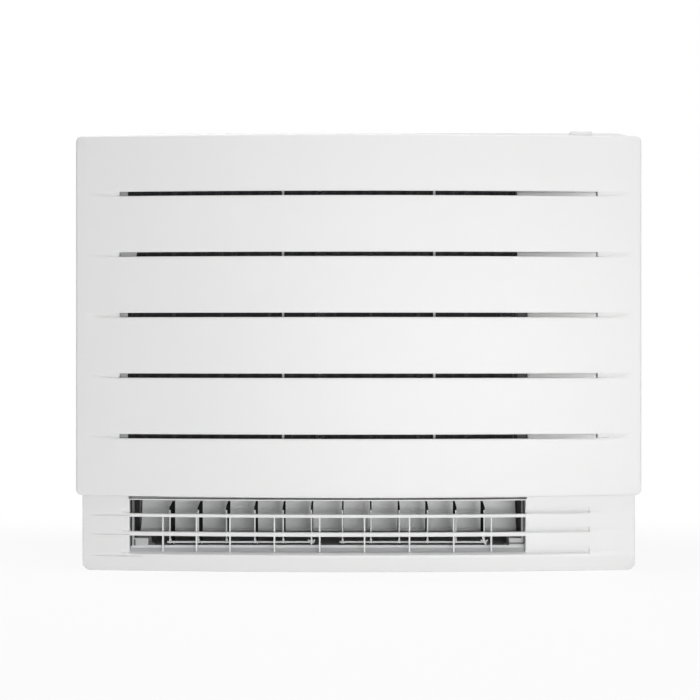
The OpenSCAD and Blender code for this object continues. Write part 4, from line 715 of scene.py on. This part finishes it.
# The grey strips at the mouth's ends, painted shade on the duct walls' front edges: left edge, right edge and lowest
# height; then their front and rear
END_STRIPS, STRIP_FRONT, STRIP_REAR = ((-302.8, -299.6, DUCT_FLOOR), (216.8, 220.1, RIGHT_BLOCK_TOP)), -204.4, -203.2
# Painted shade: the lower strips a mid grey, the upper ones under the lintel much darker as painted shadow
for side, albedo, low, high in (("low", 0.42, 33.0, 74.0), ("high", 0.13, 74.0, 94.6)):
    strip_shade_finish = moulded("strip_shade_grey_" + side, (albedo, albedo * 1.01, albedo * 1.02), rough=0.5, grain=0.02)
    strips = [block((x0, STRIP_FRONT, max(low, foot)), (x1, STRIP_REAR, high)) for x0, x1, foot in END_STRIPS]
    piece("duct_end_shade_strips_" + side, *join(*strips), strip_shade_finish, "root", "grey_abs", bevel=0.2)

# Receiver housing: a small white box beside the deck, standing up behind the panel at the right.
# A smoked window for the remote's signal and the on and off button are set in its top.
RX0, RX1, RY0, RY1, RTOP, RLOW = 283.0, 312.5, -199.5, -173.5, 586.0, 560.0
COLLAR, COLLAR_ROUND = (RX0 + 5, RX0 + 12.7, RY0 + 9.1, RY0 + 16.9), 3.8
WINDOW = (301.3, 308.9, -194.3, -178.7)
BUTTON_X, BUTTON_Y = 291.85, -186.5
# The button from its flange up to its dished top: height and radius
BUTTON_PROFILE = ((581.7, 6.2), (583.6, 6.2), (583.7, 5.0), (586.9, 5.0), (587.25, 4.8), (587.4, 4.3), (587.2, 2.5),
                  (587.1, 0.4))


def box_rings(x0, x1, y0, y1, heights, radius):
    """A box with round upright corners, drawn in at some heights."""
    mid_x, mid_y = (x0 + x1) / 2, (y0 + y1) / 2
    return [[(mid_x + u, mid_y + v, h) for u, v in rounded(x1 - x0 - 2 * inset, y1 - y0 - 2 * inset, radius)]
            for h, inset in heights]


def circle(u, v, radius, step):
    """Points of a circle about (u, v), one every step degrees."""
    return [(u + radius * math.cos(a), v + radius * math.sin(a)) for a in map(math.radians, range(0, 360, step))]


case_heights = [(RLOW, 0), (RTOP - 1.2, 0), (RTOP - 0.5, 0.2), (RTOP - 0.1, 0.8), (RTOP, 1.6)]
collar_heights = [(RTOP - 0.2, -1.8), (RTOP + 0.25, -1.6)]
receiver = join(loft(box_rings(RX0, RX1, RY0, RY1, case_heights, 2.5)),
                loft(box_rings(*COLLAR, collar_heights, COLLAR_ROUND)))
housing = piece("receiver_cover", *receiver, shell_white, "root", "white_abs", smooth=35)
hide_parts("receiver_housing")
lens_smoke, lens_shader, lens_place = new_finish("lens_smoke")
lens_shader.inputs["Coat Weight"].default_value = 0.6
lens_cloud = lens_place.noise(60.0, 2.0)
lens_cloud.mix((0.008, 0.006, 0.012, 1), (0.02, 0.014, 0.026, 1)).feed(lens_shader, "Base Color")
(0.06 + lens_cloud * 0.05).feed(lens_shader, "Roughness")
lens_heights = [(584.2, 0), (586.05, 0), (586.25, 0.4)]
lens = piece("receiver_window", *loft(box_rings(*WINDOW, lens_heights, 1.2)), lens_smoke, "root", "lens", smooth=35)
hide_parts("receiver_lens")
button_rings = [[(x, y, h) for x, y in circle(BUTTON_X, BUTTON_Y, radius, 10)] for h, radius in BUTTON_PROFILE]
button = piece("on_off_button", *loft(button_rings), pale_plastic, "power_button", "white_abs", smooth=40)
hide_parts("power_button")

# Casing and rear frame: two white mouldings that meet at a seam and enclose the works.
# The top flap is of the same plastic; inside, the duct and pan mouldings are a shade greyer.
# Pale tabs and dark strips on the casing's face show at the ends of the filter windows; the dark strips are painted
# shade behind the slots.
for node in ("front_casing", "rear_frame", "upper_flap"):
    dress(node, shell_white)
for node in ("upper_duct", "fan_scroll", "bell_mouth", "drain_pan", "upper_rod", "panel_stopper_left",
             "panel_stopper_right"):
    dress(node, pale_plastic)
CASING_FACE, TRIM_FACE, TRIM_HALF = -204.2, -206.5, 6
TAB_X, STRIP_X0, STRIP_X1 = -318, 210.8, 224.6
# The tab at each slot: right end and how far that end slants; the fourth reaches further in
TAB_ENDS = ((-308.0, 0.0), (-308.0, 0.0), (-308.0, 0.0), (-296.5, 1.4), (-308.0, 0.0))
tab_parts = []
for slot, (reach, slant) in zip(SLOTS, TAB_ENDS):
    low, high = slot - TRIM_HALF, slot + TRIM_HALF
    tab_parts.append(loft([[(TAB_X, y, low), (reach - slant, y, low), (reach + slant, y, high), (TAB_X, y, high)]
                           for y in (TRIM_FACE, CASING_FACE)]))
piece("window_edge_tabs", *join(*tab_parts), pale_plastic, "root", "light_abs", bevel=0.3)
# Painted shade: dark strips on the casing face behind the right ends of the three lower slots
strip_shade_dark = moulded("strip_shade_grey", (0.085, 0.086, 0.088), rough=0.6)
strip_parts = [block((STRIP_X0, TRIM_FACE, slot - TRIM_HALF), (STRIP_X1, CASING_FACE, slot + TRIM_HALF))
               for slot in SLOTS[:3]]
piece("window_edge_shade_strips", *join(*strip_parts), strip_shade_dark, "root", "dark_abs", bevel=0.3)
# Painted shadow: a thin dark strip down each side stands for the shadow in the seam between casing and rear frame
SEAM_X, SEAM_WIDE, SEAM_Y, SEAM_THICK, SEAM_FOOT, SEAM_TOP = 366.4, 1.2, -75.4, 0.5, 14, 588
seam_parts = []
for s in (-1, 1):
    x0, x1 = sorted((s * SEAM_X, s * SEAM_X + s * SEAM_WIDE))
    seam_parts.append(block((x0, SEAM_Y, SEAM_FOOT), (x1, SEAM_Y + SEAM_THICK, SEAM_TOP)))
gap_shade_dark = moulded("gap_shade_dark", (0.05, 0.05, 0.052), rough=0.8)
piece("seam_shadow", *join(*seam_parts), gap_shade_dark, "root", "rubber")
vane_grey = moulded("vane_grey", (0.42, 0.425, 0.43), rough=0.45)
for number in range(1, 5):
    dress("upper_blade_%d" % number, vane_grey)

# Filters: two dark moulded frames with a fine woven net behind each, lifted out by a tab.
# Grey cassettes with a comb of pleated paper sit behind them to take smells out of the air; the comb's open cells
# are painted near black as shade.
THREADS_PER_METRE = 620
frame_dark = moulded("frame_dark", (0.035, 0.035, 0.037), rough=0.55)
dress("filter_frames", frame_dark)
net_black, net_shader, net_place = new_finish("net_black")
threads = []
for axis in (0, 2):
    way = net_place.along(axis) * THREADS_PER_METRE
    threads.append(way.maths("FRACT", way).between(0.30, 0.72, 0.06))
weave = threads[0].maths("MAXIMUM", *threads)
(0.25 + weave * 0.75).feed(net_shader, "Alpha")
weave.mix((0.006, 0.006, 0.006, 1), (0.03, 0.03, 0.032, 1)).feed(net_shader, "Base Color")
net_shader.inputs["Roughness"].default_value = 0.7
dress("filter_nets", net_black, 0)
cassette_grey, cassette_shader, cassette_place = new_finish("cassette_grey")
comb = cassette_place.node("TexVoronoi", {"feature": "DISTANCE_TO_EDGE"}, {"Vector": cassette_place, "Scale": 320.0})
# Painted shade: the comb's cell walls grey, their open cells near black
comb.over(0.02, 0.09).mix((0.14, 0.145, 0.15, 1), (0.02, 0.022, 0.024, 1)).feed(cassette_shader, "Base Color")
cassette_shader.inputs["Roughness"].default_value = 0.8
comb.bump(0.5, 0.0006).feed(cassette_shader, "Normal")
dress("deodoriser_cassettes", cassette_grey, 0)

# Heat exchanger: thin aluminium fins pressed on copper tubes, between galvanised end plates.
# The fins show as fine pale upright lines, with painted shade in the dark gaps between them; copper bends and pipes
# darken where they were brazed.
FINS_PER_METRE = 560


def metal(name, colour, dark, rough, scale=40.0):
    """Bare or plated metal with uneven tarnish and fine marks."""
    made, shader, here = new_finish(name)
    shader.inputs["Metallic"].default_value = 1.0
    stain = here.noise(scale, 4.0)
    marks = here.noise(scale * 14, 3.0)
    stain.over(0.35, 0.7).mix(tuple(colour) + (1,), tuple(dark) + (1,)).feed(shader, "Base Color")
    (rough + stain * 0.12 + (marks - 0.5) * 0.1).feed(shader, "Roughness")
    marks.bump(0.1, 0.0004).feed(shader, "Normal")
    return made


fin_metal, fin_shader, fin_place = new_finish("fin_metal")
fin_shader.inputs["Metallic"].default_value = 0.9
fin_run = fin_place.along(0) * FINS_PER_METRE
fins = fin_run.maths("FRACT", fin_run).between(0.25, 0.75, 0.2)
dents = fin_place.noise(14.0, 3.0)
# Painted shade: the gaps between the fin lines are dark grey
(fins * (0.75 + dents * 0.25)).mix((0.10, 0.11, 0.12, 1), (0.68, 0.70, 0.72, 1)).feed(fin_shader, "Base Color")
(0.35 + dents * 0.2).feed(fin_shader, "Roughness")
fins.bump(0.6, 0.0008).feed(fin_shader, "Normal")
dress("fin_pack", fin_metal, 0)
zinc, zinc_shader, zinc_place = new_finish("zinc_sheet")
zinc_shader.inputs["Metallic"].default_value = 1.0
spangle = zinc_place.node("TexVoronoi", {}, {"Vector": zinc_place, "Scale": 120.0}, 1)
flake = spangle.node("RGBToBW", {}, {"Color": spangle})
flake.mix((0.42, 0.43, 0.44, 1), (0.62, 0.63, 0.64, 1)).feed(zinc_shader, "Base Color")
(0.32 + flake * 0.2).feed(zinc_shader, "Roughness")
for node in ("coil_end_plates", "wall_plate", "motor_bracket", "control_box", "control_cover"):
    dress(node, zinc, 0.3)
copper = metal("copper_tube", (0.72, 0.36, 0.22), (0.34, 0.16, 0.10), 0.26)
for node in ("return_bends", "gas_pipe", "liquid_pipe"):
    dress(node, copper, 0)
brass = metal("brass_union", (0.74, 0.56, 0.27), (0.5, 0.36, 0.16), 0.24)
dress("flare_unions", brass, 0)

# Fan and motor: a blue-grey moulded wheel on a turned steel shaft, held by a plated nut.
# The motor has a dark lacquered shell; small plated stepping motors turn the damper and the flap.
wheel_grey = moulded("wheel_grey", (0.20, 0.23, 0.25), rough=0.4)
dress("fan_wheel", wheel_grey)
turned_steel = metal("turned_steel", (0.62, 0.62, 0.62), (0.45, 0.45, 0.45), 0.22, scale=90.0)
for node in ("motor_shaft", "fan_nut", "step_motors"):
    dress(node, turned_steel, 0)
lacquer = moulded("motor_lacquer", (0.045, 0.048, 0.052), rough=0.35, grain=0.12)
dress("fan_motor", lacquer)

# Controls: a green circuit board with its parts, and a cream terminal block with plated screws.
# The parts stand in front of the board, so their depth tells the board from what it carries.
# In metres: the depths of the board's face and of the terminal's screws
BOARD_FACE, SCREW_DEPTHS = (-0.1279, -0.1273), (-0.1320, -0.1274)
solder_mask, mask_shader, mask_place = new_finish("solder_mask")
tracks = mask_place.node("TexBrick", {"offset": 0.37}, {"Vector": mask_place, "Scale": 120.0, "Mortar Size": 0.02,
                                                        "Brick Width": 0.9, "Row Height": 0.35}, 1)
carried = 1 - mask_place.along(1).over(*BOARD_FACE)
board_green = tracks.mix((0.012, 0.09, 0.035, 1), (0.03, 0.16, 0.07, 1))
cells = mask_place.node("TexVoronoi", {}, {"Vector": mask_place, "Scale": 16.0}, 1)
part_grey = cells.node("RGBToBW", {}, {"Color": cells})
part_colour = part_grey.over(0.35, 0.65).mix((0.02, 0.02, 0.022, 1), (0.45, 0.46, 0.47, 1))
carried.mix(board_green, part_colour).feed(mask_shader, "Base Color")
(0.35 + part_grey * 0.2).feed(mask_shader, "Roughness")
for node in ("control_board", "receiver_board"):
    dress(node, solder_mask, 0.3)
cream, cream_shader, cream_place = new_finish("terminal_cream")
plated = cream_place.along(1).between(*SCREW_DEPTHS, 0.0002)
cream_flow = cream_place.noise(50.0, 2.0)
cream_tone = cream_flow.mix((0.60, 0.54, 0.42, 1), (0.68, 0.62, 0.50, 1))
plated.mix(cream_tone, (0.55, 0.52, 0.42, 1)).feed(cream_shader, "Base Color")
(0.45 + cream_flow * 0.1).feed(cream_shader, "Roughness")
dress("terminal_block", cream, 0.3)

# Casing screws: four plated pan heads with a cross recess, hidden by the closed panel; each recess is a dark cross
# painted as shade.
# The cable inlet is a black rubber grommet in the back.
SCREW_X, SCREW_HEIGHTS, SHANK_END, SHANK_RADIUS = 352, (116, 558), -188, 1.45
# A head from its rim to its crown: depth and radius
HEAD_PROFILE = ((-204.0, 3.6), (-205.0, 3.6), (-205.6, 3.3), (-205.9, 2.6), (-206.0, 1.6))
CROSS_LONG, CROSS_THIN, CROSS_FRONT, CROSS_BACK = 1.7, 0.35, -206.06, -205.7
screw_parts, recess_parts = [], []
for x in (-SCREW_X, SCREW_X):
    for h in SCREW_HEIGHTS:
        screw_parts.append(loft([[(u, y, v) for u, v in circle(x, h, radius, 15)] for y, radius in HEAD_PROFILE]))
        screw_parts.append(rod((x, HEAD_PROFILE[0][0], h), (x, SHANK_END, h), SHANK_RADIUS))
        for wide, high in ((CROSS_LONG, CROSS_THIN), (CROSS_THIN, CROSS_LONG)):
            recess_parts.append(block((x - wide, CROSS_FRONT, h - high), (x + wide, CROSS_BACK, h + high)))
heads = piece("screw_heads", *join(*screw_parts), turned_steel, "root", "bright_steel", smooth=35)
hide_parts("casing_screws")
# Painted shade: a dark cross on each head stands for its recess
piece("screw_recess_shade", *join(*recess_parts), gap_shade_dark, "root", "rubber", bevel=0.08)
rubber = moulded("rubber_black", (0.012, 0.012, 0.012), rough=0.7, grain=0.2, specular=0.25)
dress("cable_grommet", rubber)

bpy.context.view_layer.update()
